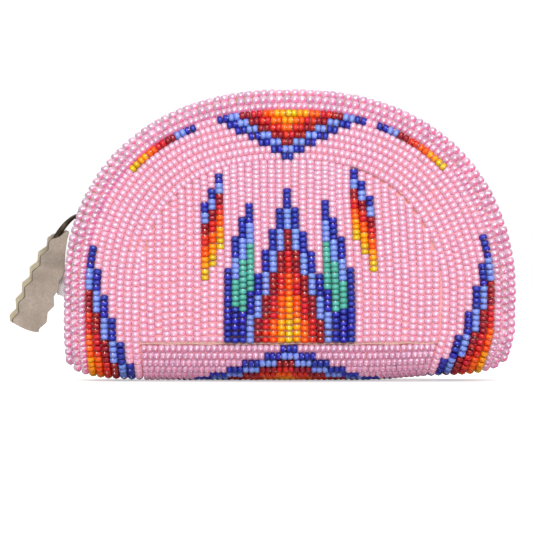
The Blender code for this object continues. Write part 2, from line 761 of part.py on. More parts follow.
def tape_stations():
    """Places of the tape's middle: down one side, round the zip's circle and down the other."""
    steps = 24
    tail_steps = 8
    first = math.pi - TAPE_END_ANGLE
    arc = [first + (TAPE_END_ANGLE - first) * i / steps for i in range(steps + 1)]
    tail = []
    start = on_circle(first, 0.0, ZIP_RADIUS)
    for i in range(tail_steps, 0, -1):
        z = start.z + (TAIL_FOOT - start.z) * i / tail_steps
        x = start.x + (HALF_LENGTH - TAIL_INSET - start.x) * smooth((start.z - z) / TAIL_RUN)
        tail.append((Vector((x, 0.0, z)), Vector((1.0, 0.0, 0.0)), 1.0))
    arch = [(on_circle(a, 0.0, ZIP_RADIUS), Vector((math.cos(a), 0.0, math.sin(a))), 0.0) for a in arc]
    flip = [(Vector((-p.x, p.y, p.z)), Vector((-n.x, n.y, n.z)), t) for p, n, t in reversed(tail)]
    return tail + arch + flip


def build_tape(name, side):
    rings = []
    for place, outward, is_tail in tape_stations():
        inner_y = LAYER_GAP / 2 if is_tail else TEETH_HALF_WIDTH + FIT
        outer_y = rim_gap(place.z) - 2 * FIT
        ring = []
        for y, offset in ((inner_y, -1), (outer_y, -1), (outer_y, 1), (inner_y, 1)):
            point = place + outward * (offset * TAPE / 2)
            ring.append(settled(Vector((point.x, side * y, point.z))))
        rings.append(ring)
    return loft(name, rings, "tape", PURSE)


def arc_bar(name, outline, start, end, steps, material, collection, squeeze=None):
    """A bar along the zip's circle; its outline holds pairs of depth and height over the circle."""
    rings = []
    for i in range(steps + 1):
        angle = start + (end - start) * i / steps
        scale = squeeze(i) if squeeze else 1.0
        rings.append([on_circle(angle, y, ZIP_RADIUS + height * scale) for y, height in outline])
    return loft(name, rings, material, collection)


def rectangle(y_low, y_high, low, high):
    return [(y_low, low), (y_high, low), (y_high, high), (y_low, high)]


def build_zip():
    first = math.pi - TAPE_END_ANGLE + 1.5 * STOP_ANGLE
    last = CLOSED_ANGLE + SLIDER_HALF_ANGLE
    teeth = int((last - first) * ZIP_RADIUS / TOOTH_PITCH)
    slot = POST_WIDTH / 2 + FIT
    for word, side in (("front", AHEAD), ("back", BEHIND)):
        build_tape(f"zip_tape_{word}", side)
        near, far = sorted((side * slot, side * TEETH_HALF_WIDTH))
        outline = rectangle(near, far, -TEETH_HEIGHT / 2, TEETH_HEIGHT / 2)
        row_name = f"zip_teeth_{word}"
        arc_bar(row_name, outline, first, last, 2 * teeth, "gunmetal", PURSE, lambda i: 1.0 if i % 2 else 0.6)
        stop_start = last + 0.6 * STOP_ANGLE
        arc_bar(f"top_stop_{word}", outline, stop_start, stop_start + STOP_ANGLE, 1, "gunmetal", PURSE)
    across = rectangle(-TEETH_HALF_WIDTH, TEETH_HALF_WIDTH, -TEETH_HEIGHT / 2, TEETH_HEIGHT / 2)
    arc_bar("bottom_stop", across, first - 1.4 * STOP_ANGLE, first - 0.3 * STOP_ANGLE, 1, "gunmetal", PURSE)


def plate_top():
    return TEETH_HEIGHT / 2 + FIT + SLIDER_PLATE


def pin_height():
    """Height of the pull's pin over the zip's circle, under the slider's bridge."""
    return plate_top() + FIT + PIN / 2


def build_slider():
    """Two plates round the teeth, with lips, a post between the rows and a bridge for the pull."""
    start = CLOSED_ANGLE - SLIDER_HALF_ANGLE
    end = CLOSED_ANGLE + SLIDER_HALF_ANGLE
    half = SLIDER_WIDTH / 2
    lip = half - PULL_RAIL / 2
    low = TEETH_HEIGHT / 2 + FIT
    lip_low = TAPE / 2 + FIT
    outer = [(-half, lip_low), (-lip, lip_low), (-lip, low), (lip, low), (lip, lip_low), (half, lip_low)]
    outer += [(half, plate_top()), (-half, plate_top())]
    slider = arc_bar("slider", outer, start, end, 4, "gunmetal", PURSE)
    inner = arc_bar("slider_inner", [(y, -r) for y, r in outer], start, end, 4, "gunmetal", CUTTERS)
    post_start = end - STOP_ANGLE
    post_half = POST_WIDTH / 2
    post = rectangle(-post_half, post_half, -low - SLIDER_PLATE / 2, low + SLIDER_PLATE / 2)
    post = arc_bar("slider_post", post, post_start, end - STOP_ANGLE / 4, 1, "gunmetal", CUTTERS)
    base = ZIP_RADIUS + plate_top()
    window = PIN + 2 * FIT
    foot = BRIDGE_SPAN / 2
    bridge = [(-foot, -SLIDER_PLATE / 2), (-foot, window / 2), (-foot / 2, window + BRIDGE_BAR)]
    bridge += [(foot / 2, window + BRIDGE_BAR), (foot, window / 2), (foot, -SLIDER_PLATE / 2)]
    bridge += [(foot - BRIDGE_BAR, -SLIDER_PLATE / 2), (foot - BRIDGE_BAR, window / 3), (foot / 2, window)]
    bridge += [(-foot / 2, window), (BRIDGE_BAR - foot, window / 3), (BRIDGE_BAR - foot, -SLIDER_PLATE / 2)]
    outline = [(x, base + z) for x, z in bridge]
    bridge = plate("slider_bridge", outline, -BRIDGE_WIDTH / 2, BRIDGE_WIDTH / 2, "gunmetal", CUTTERS)
    turn = Matrix.Rotation(math.pi / 2 - CLOSED_ANGLE, 4, "Y")
    bridge.data.transform(Matrix.Translation((0, 0, ZIP_CENTRE)) @ turn)
    for helper in (inner, post, bridge):
        combine(slider, hide_helper(helper), "UNION")
    return slider


def pull_width():
    return BRIDGE_WIDTH + 2 * FIT + 2 * PULL_RAIL


def build_pull(pin_place, heading):
    """A flat tab with a window round the bridge and a slot for the suede, hung on its top bar."""
    half = pull_width() / 2
    thick = PULL_THICKNESS / 2
    window_end = BRIDGE_SPAN / 2 + 2 * FIT
    slot_start = PULL_LENGTH - PIN - window_end / 2
    slot_half = half - PULL_RAIL
    outline = [(-PIN / 2, -half), (PULL_LENGTH - PIN, -half), (PULL_LENGTH + PIN / 2, -half + PIN)]
    outline += [(PULL_LENGTH + PIN / 2, half - PIN), (PULL_LENGTH - PIN, half), (-PIN / 2, half)]
    tab = plate("pull_tab", outline, -thick, thick, "gunmetal", PURSE)
    spans = ((PIN / 2, window_end), (slot_start, PULL_LENGTH - PIN / 2))
    for i, (low, high) in enumerate(spans):
        corners = [(low, -slot_half), (high, -slot_half), (high, slot_half), (low, slot_half)]
        opening = cutter(f"pull_opening_{i}", corners, -BEAD, BEAD)
        opening.parent = tab
        combine(tab, opening, "DIFFERENCE")
    across = Matrix.Rotation(math.pi / 2, 4, "X")
    tab.matrix_world = Matrix.Translation(pin_place) @ Matrix.Rotation(-heading, 4, "Y") @ across
    return tab


def strip_place(bar_place):
    """The strip's frame: it hangs along its own -Z, and its own +X faces the purse."""
    lean = CLOSED_ANGLE + PULL_LEAN + STRIP_LEAN + math.pi / 2
    return Matrix.Translation(bar_place) @ Matrix.Rotation(-lean, 4, "Y")


def clear_of_teeth(x, z, place):
    """The same point, moved back across the strip until it clears the zip as the slider travels."""
    clear = ZIP_RADIUS + TEETH_HEIGHT / 2 + 2 * FIT
    point = place @ Vector((x, 0.0, z))
    while math.hypot(point.x, point.z - ZIP_CENTRE) < clear:
        x -= FIT / 3
        point = place @ Vector((x, 0.0, z))
    return x, z


def pinked_outline(place, shift):
    """One layer of the strip, with zigzag long edges; its upper edge rises beside the pull's bar."""
    left = STRIP_OFFSET - STRIP_WIDTH / 2
    right = STRIP_OFFSET + STRIP_WIDTH / 2
    top = [(left, -SUEDE), (left / 3, STRIP_TOP * 0.4), (SUEDE, STRIP_TOP * 0.4)]
    top += [(STRIP_TOP, STRIP_TOP), (STRIP_OFFSET + STRIP_WIDTH / 4, STRIP_TOP)]
    half_teeth = 2 * round(STRIP_LENGTH / PINK_PITCH)
    heights = [-SUEDE - (STRIP_LENGTH - SUEDE) * i / half_teeth for i in range(1, half_teeth + 1)]
    down = [(right - (PINK_DEPTH if i % 2 else 0.0), z) for i, z in enumerate(heights)]
    up = [(left + (PINK_DEPTH if i % 2 else 0.0), z - SUEDE / 2) for i, z in enumerate(heights)]
    outline = [clear_of_teeth(x, z, place) for x, z in top + down + up[::-1]]
    return [(x + shift, z) for x, z in outline]


def build_strip(bar_place):
    """Suede folded over the pull's lower bar: a loop and two layers."""
    place = strip_place(bar_place)
    hole = PULL_THICKNESS / 2 + PIN / 2
    outer = hole + SUEDE
    circle = [(math.cos(math.tau * i / 16), math.sin(math.tau * i / 16)) for i in range(16)]
    ring_half = STRIP_HALF - FIT / 2
    ring = [(outer * x, outer * z) for x, z in circle]
    strip = plate("suede_strip", ring, -ring_half, ring_half, "suede", PURSE)
    for word, side, shift in (("front", AHEAD, 0.0), ("back", BEHIND, -LAYER_SHIFT)):
        low, high = sorted((side * LAYER_GAP / 2, side * STRIP_HALF))
        layer = plate(f"suede_layer_{word}", pinked_outline(place, shift), low, high, "suede", CUTTERS)
        layer.parent = strip
        combine(strip, hide_helper(layer), "UNION")
    opening = cutter("suede_opening", [(hole * x, hole * z) for x, z in circle], -BEAD, BEAD)
    opening.parent = strip
    combine(strip, opening, "DIFFERENCE")
    strip.matrix_world = place
    return strip


clear_scene()
PURSE = new_collection("beaded_coin_purse")
CUTTERS = new_collection("cutters")
MATERIALS = {name: principled(name, *look) for name, look in COLOURS.items()}

build_hide()
build_edge_beads()
rim_insets = [HIDE_INSET, HIDE_INSET + 0.35 * LANE, HIDE_INSET + 0.7 * LANE]
rim_insets += [BORDER_START - LANE / 2, BORDER_START - FIT / 2]
build_loop_sheet("rim_beads", rim_insets, PURSE)
border_insets = [BORDER_START + LANE * i / 2 for i in range(2 * BORDER_LANES + 1)]
border_insets[0] += FIT / 2
border_sheet = hide_helper(build_loop_sheet("border_sheet", border_insets, CUTTERS))
build_border_motifs(border_sheet)
front_sheet = hide_helper(build_panel("front_sheet", AHEAD, CUTTERS))
build_panel_motifs(front_sheet)
build_panel("back_panel_beads", BEHIND, PURSE)
bottom_sheet = hide_helper(build_bottom_sheet(CUTTERS))
build_bottom_motifs(bottom_sheet)
for piece in list(PURSE.objects):
    settle(piece)
build_zip()
build_slider()
pin = on_circle(CLOSED_ANGLE, 0.0, ZIP_RADIUS + pin_height())
heading = CLOSED_ANGLE + PULL_LEAN
build_pull(pin, heading)
bar = pin + PULL_LENGTH * Vector((math.cos(heading), 0.0, math.sin(heading)))
build_strip(bar)
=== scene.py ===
"""A beaded coin purse: strung seed beads, hide, zip, pull and suede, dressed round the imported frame."""

import math

import bmesh
import bpy
import numpy as np
from mathutils import Matrix, Vector


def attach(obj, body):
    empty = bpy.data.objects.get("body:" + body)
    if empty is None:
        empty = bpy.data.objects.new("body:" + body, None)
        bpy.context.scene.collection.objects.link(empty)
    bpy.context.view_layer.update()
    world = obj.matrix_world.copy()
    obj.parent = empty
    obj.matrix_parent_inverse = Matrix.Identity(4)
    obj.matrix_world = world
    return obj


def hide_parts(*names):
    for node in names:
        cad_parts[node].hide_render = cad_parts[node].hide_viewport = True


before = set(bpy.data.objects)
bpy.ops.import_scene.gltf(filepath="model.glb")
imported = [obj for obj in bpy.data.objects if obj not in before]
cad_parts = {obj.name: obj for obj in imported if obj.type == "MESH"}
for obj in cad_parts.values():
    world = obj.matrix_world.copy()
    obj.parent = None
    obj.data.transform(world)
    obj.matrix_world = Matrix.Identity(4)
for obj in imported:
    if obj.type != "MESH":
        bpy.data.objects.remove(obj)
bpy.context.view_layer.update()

# Purse, in metres: X runs left to right, Y runs back, Z runs up, and the front faces -Y
HALF_LENGTH = 0.0623
WIDEST_HEIGHT = 0.0222
ARCH_RISE = 0.0581
ARCH_POWER = 2.27
SHOULDER = 0.5
CORNER_POWER = 9.0
HIDE = 0.0012
HIDE_RINGS = 97
BEND_POINTS = 14
FACE_POINTS = 26
BEAD = 0.0021
BEAD_DIAMETER = 0.00236
PINK_DIAMETER = 0.00232
BEAD_LENGTH = 0.0015
PINK_LENGTH = 0.00158
BEAD_HOLE = 0.0005
FIT = 0.0003
FACE_DEPTH_LOW = 0.0069
FACE_DEPTH_HIGH = 0.0056
PILLOW = 0.016
AHEAD, BEHIND = -1, 1
SIDES = {"front": AHEAD, "back": BEHIND}
LEFT, RIGHT = -1, 1
REST = {AHEAD: 0.0006, BEHIND: 0.0040}
BEND_RISE = {AHEAD: 0.0075, BEHIND: 0.0045}
BEND_POWER = 1.8

# The fold's ends are tucked in below this height, the right one more, and the right one is lifted a little
SETTLE_HEIGHT = 0.014
SETTLE_START = 0.020
SETTLE_RUN = 0.025
LEFT_TUCK = 0.0010
RIGHT_TUCK = 0.0034
RIGHT_LIFT = 0.0012
SETTLE_POWER = 1.3

# Right of the middle the face is a little fuller, and its upper lanes lean back in
SWELL = 0.0009
SWELL_HEIGHT = 0.0265
SWELL_BELOW = 0.017
SWELL_ABOVE = 0.0125
SWELL_START = 0.006
SWELL_RUN = 0.020
EDGE_SHARE = 0.45
EDGE_FROM = 0.72
UPPER_LEAN = 0.0006
UPPER_RUN = 0.012
UPPER_START = 0.040
UPPER_RISE = 0.014

# Lanes of beads
LANE = 0.00214
ARCH_SQUEEZE = 0.93
BORDER_LANES = 7
COLUMN = 0.0021
PANEL_FOOT = 0.0103
FOOT_RAISED = 0.0002
BAND_TOP = 0.0096
BAND_ROWS = 13
BAND_REACH = 25
ROW_STEP = 0.001656
ROW_EASE = 0.0000051
LANE_STEP = 0.00158
LANE_EASE = 0.03
EDGE_STEP = 0.00214
EDGE_SIZE = 1.03
ROLL = math.radians(12.0)
ROUND_STRETCH = 1.28
WHIP_INSET = 0.0030
THIRD_INSET = 0.0051

# How unevenly the beads are strung, in bead steps: where a lane starts, how it sways, how single beads stray
LANE_PHASE = 0.30
LANE_SWAY = (0.06, 0.20)
SWAY_BEADS = (5, 9)
SWAY_START = 6.3
BEAD_STRAY = 0.05

# How the columns stand, in metres: their common lean, and two slow waves along and across the face
COLUMN_LEAN = 0.010
WAVE = 0.00016
WAVE_RISE = 0.0085
WAVE_RUN = 0.012
SMALL_WAVE = 0.00010
SMALL_WAVE_RUN = 0.0047

# Stitches: where each comes out of the hide, passes the whipped pair and turns over the edge
STITCH_LOW = WHIP_INSET + 0.0011
STITCH_HIGH = WHIP_INSET - 0.0006
STITCH_SHIFTS = (0.0, 0.0004, 0.0009)
STITCH_STRAY = 0.0003
EDGE_THREAD_SIZE = 0.00028
SEAM_THREAD_SIZE = 0.0004
SEAM_THREADS = ((0.0, 0.0007), (0.0004, 0.0005), (0.0008, 0.0003))

# Zip
ZIP_SINK = 0.0040
ZIP_END_HEIGHT = 0.0443
TEETH_HALF_WIDTH = 0.0021
TEETH_HEIGHT = 0.0020
TOOTH_STEP = 0.0019
TOOTH_SIZE = (0.0019, 0.0017, 0.0009)
TOOTH_MIDDLE = 0.0012
TAPE = 0.0005
TAIL_INSET = 0.0034
TAIL_FOOT = 0.0105
TAIL_RUN = 0.012
TAIL_STATIONS = 48
ARCH_STATIONS = 160
TAPE_INNER = TEETH_HALF_WIDTH - 0.0006
RIPPLE = 0.00008
RIPPLE_RUN = 0.0021
TAPE_END_DEPTH = 0.0015
TAPE_END = (
    (-0.0600, 0.0226),
    (-0.0622, 0.0228),
    (-0.0644, 0.0236),
    (-0.0649, 0.0262),
    (-0.0644, 0.0300),
    (-0.0600, 0.0315),
)
STOP_LENGTH = 0.0016
STOP_GAP = 0.00055
SLIDER_WIDTH = 0.0064
SLIDER_LENGTH = 0.0088
SLIDER_PLATE = 0.0008
BRIDGE_WIDTH = 0.0018
BRIDGE_SPAN = 0.0062
BRIDGE_BAR = 0.0008

# Pull and suede strip
PIN = 0.0008
PULL_LENGTH = 0.0102
PULL_THICKNESS = 0.0009
PULL_RAIL = 0.0008
PULL_CORNER = 0.0008
PULL_BOW = 0.0014
PULL_LEAN = math.radians(74.0)
SUEDE = 0.0008
LAYER_GAP = 0.0003
STRIP_LENGTH = 0.0256
STRIP_LEAN = math.radians(22.0)
PINK_PITCH = 0.0048
PINK_DEPTH = 0.0010
PINK_SHARPNESS = 0.96
RIGHT_DEPTH = 0.0008
LAYER_SHIFT = 0.0011
CUT_SLOPE = 0.0003
BULGE = 0.00215
BULGE_REACH = 0.0024
BULGE_RUN = 0.0062
FULLNESS = 0.00020
UNEVENNESS = 0.00006
LEFT_TEETH_START = -0.0008
RIGHT_TEETH_START = -0.0024
RIGHT_TEETH_TOP = -0.0075
RIGHT_TEETH_RUN = 0.003
FOLD_HOLE = PULL_THICKNESS * 1.4
FOLD_SPREAD = 0.0017

# The strip's outline: heights down its length, and how far its edges lie from the pull's lower bar
STRIP_HEIGHTS = (-STRIP_LENGTH, -0.0232, -0.0165, -0.0122, -0.0082, -0.0057, -0.0017, 0.0016, 0.0037)
LEFT_EDGE = (-0.0023, -0.0025, -0.0029, -0.0027, -0.0025, -0.0023, -0.0018, -0.0012, -0.0004)
RIGHT_EDGE = (0.0061, 0.0067, 0.0068, 0.0062, 0.0058, 0.0052, 0.0038, 0.0029, 0.0026)
TOP_PLACES = (0.0, 0.35, 0.70, 1.0)
STRIP_TOPS = {AHEAD: (-0.0001, 0.0019, 0.0037, 0.0036), BEHIND: (0.0002, 0.0022, 0.0038, 0.0038)}

# Beadwork, counted in beads
FIRE = ("dark_blue", "light_blue", "burgundy", "red", "orange", "amber", "yellow")
MOUNTAIN_BEADS = 28
MOUNTAIN_COLUMNS = 4
STEP_BEADS = 4
PLUME = {
    5: (("dark_blue", 4), ("light_blue", 4), ("turquoise", 9), ("dark_blue", 4), ("light_blue", 5)),
    6: (("dark_blue", 4), ("light_blue", 4), ("turquoise", 9), ("dark_blue", 5)),
    7: (("dark_blue", 4), ("light_blue", 4), ("turquoise", 5), ("dark_blue", 6)),
    8: (("dark_blue", 13),),
}
FEATHER_COLUMN = 9
FEATHER_COLUMNS = 3
FEATHER_TOPS = {LEFT: 0.0567, RIGHT: 0.0579}
FEATHER_STEP = 0.0035
FEATHER_BEADS = 14
OPEN_STRINGING = {LEFT: 0.93, RIGHT: 0.985}
FLAME_STEPS = {LEFT: 0.00605, RIGHT: 0.0066}
FLAME_TOPS = {LEFT: 0.0367, RIGHT: 0.0396}
TRIANGLE_REACH = 13
STREAK_BEADS = 14
STREAK_STARTS = {LEFT: -0.0270, RIGHT: 0.0250}

# Light and view: the side of a bead where a glow is painted, as if light that went through it gathered there,
# the reach of the shade painted on the floor round the purse, and the photograph's frame
WHITE = (1.0, 1.0, 1.0, 1.0)
PAINTED_GLOW_SIDE = (0.50, -0.62, -0.60)
# How strongly the beads glow by painted emission, in place of light carried inside the glass
PAINTED_INNER_GLOW = 0.11
PAINTED_SHADOW_REACH = (0.060, 0.018, 1.0)
FLOOR_GAP = 0.0002
FLOOR_SIZE = 3.0
FLOOR_GREY = (0.45, 0.45, 0.45, 1.0)
LOW_LIGHT = 0.28
HIGH_LIGHT = 0.58
LAMP_AIM = (0.0, 0.0, 0.035)
VIEW_CENTRE = (-0.0062, 0.0, 0.0314)
VIEW_WIDTH = 0.14683
VIEW_DISTANCE = 0.9
FRONT_FACE = 0.0075

# Worked out from the sizes above
FLOOR = BEAD
TOP = WIDEST_HEIGHT + ARCH_RISE
HIDE_INSET = BEAD + FIT
BORDER_START = HIDE_INSET + 1.7 * LANE
PANEL_INSET = BORDER_START + BORDER_LANES * LANE
PANEL_HALF = HALF_LENGTH - PANEL_INSET
COLUMNS = int((PANEL_HALF - COLUMN / 2) / COLUMN)
SIDE_GAP = SUEDE + LAYER_GAP / 2 + 0.0005 + BEAD / 6
ZIP_GAP = SLIDER_WIDTH / 2 + 0.00035 + BEAD / 6
PLATE_LOW = TEETH_HEIGHT / 2 + FIT
PLATE_TOP = PLATE_LOW + SLIDER_PLATE
PIN_HEIGHT = PLATE_TOP + FIT + PIN / 2


def clamp(value):
    return np.clip(value, 0.0, 1.0)


def smooth(value):
    value = clamp(value)
    return value * value * (3 - 2 * value)


def unit(vectors):
    return vectors / np.maximum(np.linalg.norm(vectors, axis=-1, keepdims=True), 1e-12)


def measured(steps):
    """Distances along a path, from the lengths of its steps."""
    return np.concatenate([[0.0], np.cumsum(steps)])


def sampled(places, reach, field):
    """Points of a path at some places, where reach measures the path."""
    return np.stack([np.interp(places, reach, field[:, i]) for i in range(3)], -1)


def arch_power(inset):
    """The arch's exponent: the inner lanes are a little squarer at the shoulders."""
    return ARCH_POWER + SHOULDER * inset / HALF_LENGTH


def arch_height(x, inset):
    """Height of the arch curve that lies inset from the outline, above the point x."""
    across = clamp(np.abs(x) / (HALF_LENGTH - inset))
    power = arch_power(inset)
    return WIDEST_HEIGHT + (ARCH_RISE - ARCH_SQUEEZE * inset) * (1 - across**power) ** (1 / power)


def arch_reach(z, inset):
    """Half-length of the same curve at a height."""
    above = clamp((z - WIDEST_HEIGHT) / (ARCH_RISE - ARCH_SQUEEZE * inset))
    power = arch_power(inset)
    return (HALF_LENGTH - inset) * (1 - above**power) ** (1 / power)


def zip_circle():
    """Radius and centre height of the circle through the arch's top and the zip's two ends."""
    top = TOP - ZIP_SINK
    reach = arch_reach(ZIP_END_HEIGHT, ZIP_SINK)
    centre = (top**2 - reach**2 - ZIP_END_HEIGHT**2) / (2 * (top - ZIP_END_HEIGHT))
    return top - centre, centre


ZIP_RADIUS, ZIP_CENTRE = zip_circle()
CLOSED_ANGLE = math.pi - math.asin((ZIP_END_HEIGHT - ZIP_CENTRE) / ZIP_RADIUS)
SLIDER_HALF_ANGLE = SLIDER_LENGTH / 2 / ZIP_RADIUS
STOP_ANGLE = STOP_LENGTH / ZIP_RADIUS
TAPE_END_ANGLE = CLOSED_ANGLE + SLIDER_HALF_ANGLE + 2.2 * STOP_ANGLE
TAPE_START_ANGLE = math.pi - TAPE_END_ANGLE
TEETH_START = TAPE_START_ANGLE + 1.5 * STOP_ANGLE
TEETH_END = CLOSED_ANGLE + SLIDER_HALF_ANGLE
JOIN_HIGH = ZIP_CENTRE + ZIP_RADIUS * math.sin(TAPE_END_ANGLE)
JOIN_LOW = JOIN_HIGH - TAIL_RUN


def rim_gap(z):
    """Half the gap between the hide's two edges: wide at the zip, narrow below its ends."""
    return SIDE_GAP + (ZIP_GAP - SIDE_GAP) * smooth((z - JOIN_LOW) / (JOIN_HIGH - JOIN_LOW))


def half_depth(x, z):
    """Depth of the hide's outer face from the mid-plane: a soft pillow that thins to its rim."""
    across = clamp(np.abs(x) / HALF_LENGTH) ** ARCH_POWER
    above = clamp((z - WIDEST_HEIGHT) / ARCH_RISE) ** ARCH_POWER
    inset = (1 - (across + above) ** (1 / ARCH_POWER)) * HALF_LENGTH
    near_rim = clamp(1 - (inset - HIDE_INSET) / PILLOW)
    face = FACE_DEPTH_LOW + (FACE_DEPTH_HIGH - FACE_DEPTH_LOW) * z / TOP
    return face - (face - HIDE - rim_gap(z)) * near_rim**2


def corner_rise(x):
    """How far the fold's underside curves up near its ends."""
    across = clamp(np.abs(x) / HALF_LENGTH)
    return WIDEST_HEIGHT * (1 - (1 - across**CORNER_POWER) ** (1 / CORNER_POWER))


def swell(x, z):
    """How far the purse's right part is pushed out by what it once held."""
    reach = np.where(z > SWELL_HEIGHT, SWELL_ABOVE, SWELL_BELOW)
    hump = np.exp(-(((z - SWELL_HEIGHT) / reach) ** 2))
    inner = smooth((x - SWELL_START) / SWELL_RUN)
    outer = 1 - (1 - EDGE_SHARE) * smooth((x / HALF_LENGTH - EDGE_FROM) / (1 - EDGE_FROM))
    return SWELL * hump * inner * outer


def settled(points):
    """Where points of the plain shape lie in the soft purse: the fold's ends are drawn in."""
    points = np.array(points, float)
    x, z = points[..., 0], points[..., 2]
    end = smooth((np.abs(x) - SETTLE_START) / SETTLE_RUN) * clamp(1 - z / SETTLE_HEIGHT) ** SETTLE_POWER
    right = x > 0
    moved = points.copy()
    moved[..., 0] += np.where(right, -RIGHT_TUCK * end, LEFT_TUCK * end) + swell(x, z)
    moved[..., 2] += np.where(right, RIGHT_LIFT * end, 0.0)
    return moved


def bend_length(side):
    reach = FACE_DEPTH_LOW - REST[side]
    return math.pi / 2 * math.sqrt((reach**2 + BEND_RISE[side] ** 2) / 2)


def travel_at(z, side):
    """Distance along the hide from the middle of the fold up to a height on the face."""
    return REST[side] + bend_length(side) + z - FLOOR - BEND_RISE[side]


def section(x, travel, side, lift):
    """Points at distances along the hide from the middle of the fold, lifted off its outer face."""
    x, travel = np.broadcast_arrays(np.asarray(x, float), np.asarray(travel, float))
    turn = clamp((travel - REST[side]) / bend_length(side)) * math.pi / 2
    climb = 1 - np.cos(turn) ** (2 / BEND_POWER)
    straight = np.maximum(0.0, travel - REST[side] - bend_length(side))
    z = FLOOR - lift + (BEND_RISE[side] + lift) * climb + straight
    z = z + corner_rise(x) * clamp(1 - z / WIDEST_HEIGHT)
    flat = REST[side] / FACE_DEPTH_LOW
    spread = flat * np.minimum(travel / REST[side], 1.0) + (1 - flat) * np.sin(turn) ** (2 / BEND_POWER)
    return np.stack([x, side * (half_depth(x, z) + lift) * spread, z], -1)


def face_point(x, z, side, lift):
    x, z = np.broadcast_arrays(np.asarray(x, float), np.asarray(z, float))
    return np.stack([x, side * (half_depth(x, z) + lift), z], -1)


def loop_curve(inset, side, lift):
    """A lane from the middle of the fold at the left, over the arch, to the fold's middle at the right."""
    rise = np.linspace(0, travel_at(WIDEST_HEIGHT, side), 120)
    reach = HALF_LENGTH - inset
    power = 2 / arch_power(inset)
    angle = np.linspace(math.pi, 0, 421)[1:-1]
    x = np.sign(np.cos(angle)) * np.abs(np.cos(angle)) ** power * reach
    z = WIDEST_HEIGHT + np.sin(angle) ** power * (ARCH_RISE - ARCH_SQUEEZE * inset)
    left = section(-reach, rise, side, lift)
    right = section(reach, rise[::-1], side, lift)
    return np.concatenate([left, face_point(x, z, side, lift), right])


def edge_curve(side):
    """The row rolled over the hide's raw edge."""
    points = loop_curve(BEAD / 2, side, BEAD / 2)
    outer = half_depth(points[:, 0], points[:, 2]) + BEAD / 2
    points[:, 1] *= (rim_gap(points[:, 2]) + BEAD / 3) / outer
    return points


def row_height(rows):
    """Height of so many rows of the panel: each row is strung a little closer than the one below."""
    return PANEL_FOOT + rows * (ROW_STEP - ROW_EASE * rows)


def rows_below(z):
    root = math.sqrt(ROW_STEP**2 - 4 * ROW_EASE * (z - PANEL_FOOT))
    return (ROW_STEP - root) / (2 * ROW_EASE)


# How beads are strung: they are gathered by piece or colour before their meshes are made

BEADS = {}


def add_lane(piece_of, points, along, out, size=1.0, stretch=1.0):
    """Adds a lane of beads, where piece_of gives the piece or colour of the bead at a place."""
    for place, bead in enumerate(zip(points, along, out)):
        BEADS.setdefault(piece_of(place), []).append((*bead, size, stretch))


def facing_out(centre, beside):
    """The hide's outward direction along a lane, from a second curve a little beside it."""
    centre, beside = settled(centre), settled(beside)
    out = unit(np.cross(np.gradient(centre, axis=0), beside - centre))
    core = centre * (0.8, 0.0, 0.8) + (0.0, 0.0, 0.2 * WIDEST_HEIGHT)
    return out * np.sign(np.sum(out * (centre - core)))


def loop_lane(inset, side):
    """The middle of a lane round the purse, and its outward directions."""
    centre = loop_curve(inset, side, BEAD / 2)
    return centre, facing_out(centre, loop_curve(inset + BEAD / 4, side, BEAD / 2))


def uneven(places, length, step, lane):
    """Bead places along a lane, with its beads a little ahead of or behind the lane beside it."""
    chance = np.random.default_rng(lane)
    phase = chance.uniform(-LANE_PHASE, LANE_PHASE)
    start = chance.uniform(0, SWAY_START)
    sway = chance.uniform(*LANE_SWAY)
    drift = phase + sway * np.sin(places / step / chance.uniform(*SWAY_BEADS) + start)
    ends = clamp(np.minimum(places, length - places) / (3 * step))
    return places + step * (drift * ends + chance.uniform(-BEAD_STRAY, BEAD_STRAY, len(places)))


def strung(centre, out, step, count=None, ease=0.0, even=False, lane=0):
    """Places of beads at even spacing along a lane: points, thread directions and outward directions."""
    centre = settled(centre)
    steps = np.linalg.norm(np.diff(centre, axis=0), axis=1)
    middle = (centre[1:] + centre[:-1]) / 2
    reach = measured(steps / (1 + ease * middle[:, 0] / HALF_LENGTH))
    if count is None:
        count = int(round(reach[-1] / step / 2)) * 2 if even else int(round(reach[-1] / step))
    places = uneven((np.arange(count) + 0.5) * reach[-1] / count, reach[-1], reach[-1] / count, lane)
    fields = (centre, np.gradient(centre, axis=0), out)
    points, along, out = (sampled(places, reach, field) for field in fields)
    return points, unit(along), unit(out)


def lane_colour(lane, place, middle, flames):
    """Colour of a border bead, or None for the pink ground."""
    for end, (first, last) in flames.items():
        if first <= place < last:
            down = place - first if end > 0 else last - 1 - place
            return FIRE[min(down // STEP_BEADS, len(FIRE) - 1)]
    from_middle = place - middle if place >= middle else middle - 1 - place
    if from_middle < TRIANGLE_REACH - 2 * lane:
        return FIRE[len(FIRE) - 1 - lane - (from_middle + 1) // 2]
    return None


def string_border_lane(lane, side):
    centre, out = loop_lane(BORDER_START + (lane + 0.5) * LANE, side)
    seed = lane + 20 * side + 50
    points, along, out = strung(centre, out, LANE_STEP, ease=LANE_EASE, even=True, lane=seed)
    count = len(points)
    middle = int(np.argmax((points[:, 0] > 0) & (points[:, 2] > WIDEST_HEIGHT)))
    flames = {}
    streaks = {}
    for end in (LEFT, RIGHT):
        reach = travel_at(FLAME_TOPS[end], AHEAD) - FLAME_STEPS[end] * lane
        covered = int(round(max(reach, 0.0) / (LANE_STEP * (1 + LANE_EASE * end))))
        flames[end] = (0, covered) if end == LEFT else (count - covered, count)
        if lane == 0:
            low = points[:, 2] <= WIDEST_HEIGHT
            start = int(np.argmin(np.abs(points[:, 0] - STREAK_STARTS[end]) + low))
            streaks.update({start + end * k: FIRE[k // 2] for k in range(STREAK_BEADS)})

    def piece_of(place):
        ground = "border_left" if points[place][0] < 0 else "border_right"
        if side == BEHIND:
            ground = "border_back"
        return lane_colour(lane, place, middle, flames) or streaks.get(place) or ground

    add_lane(piece_of, points, along, out)


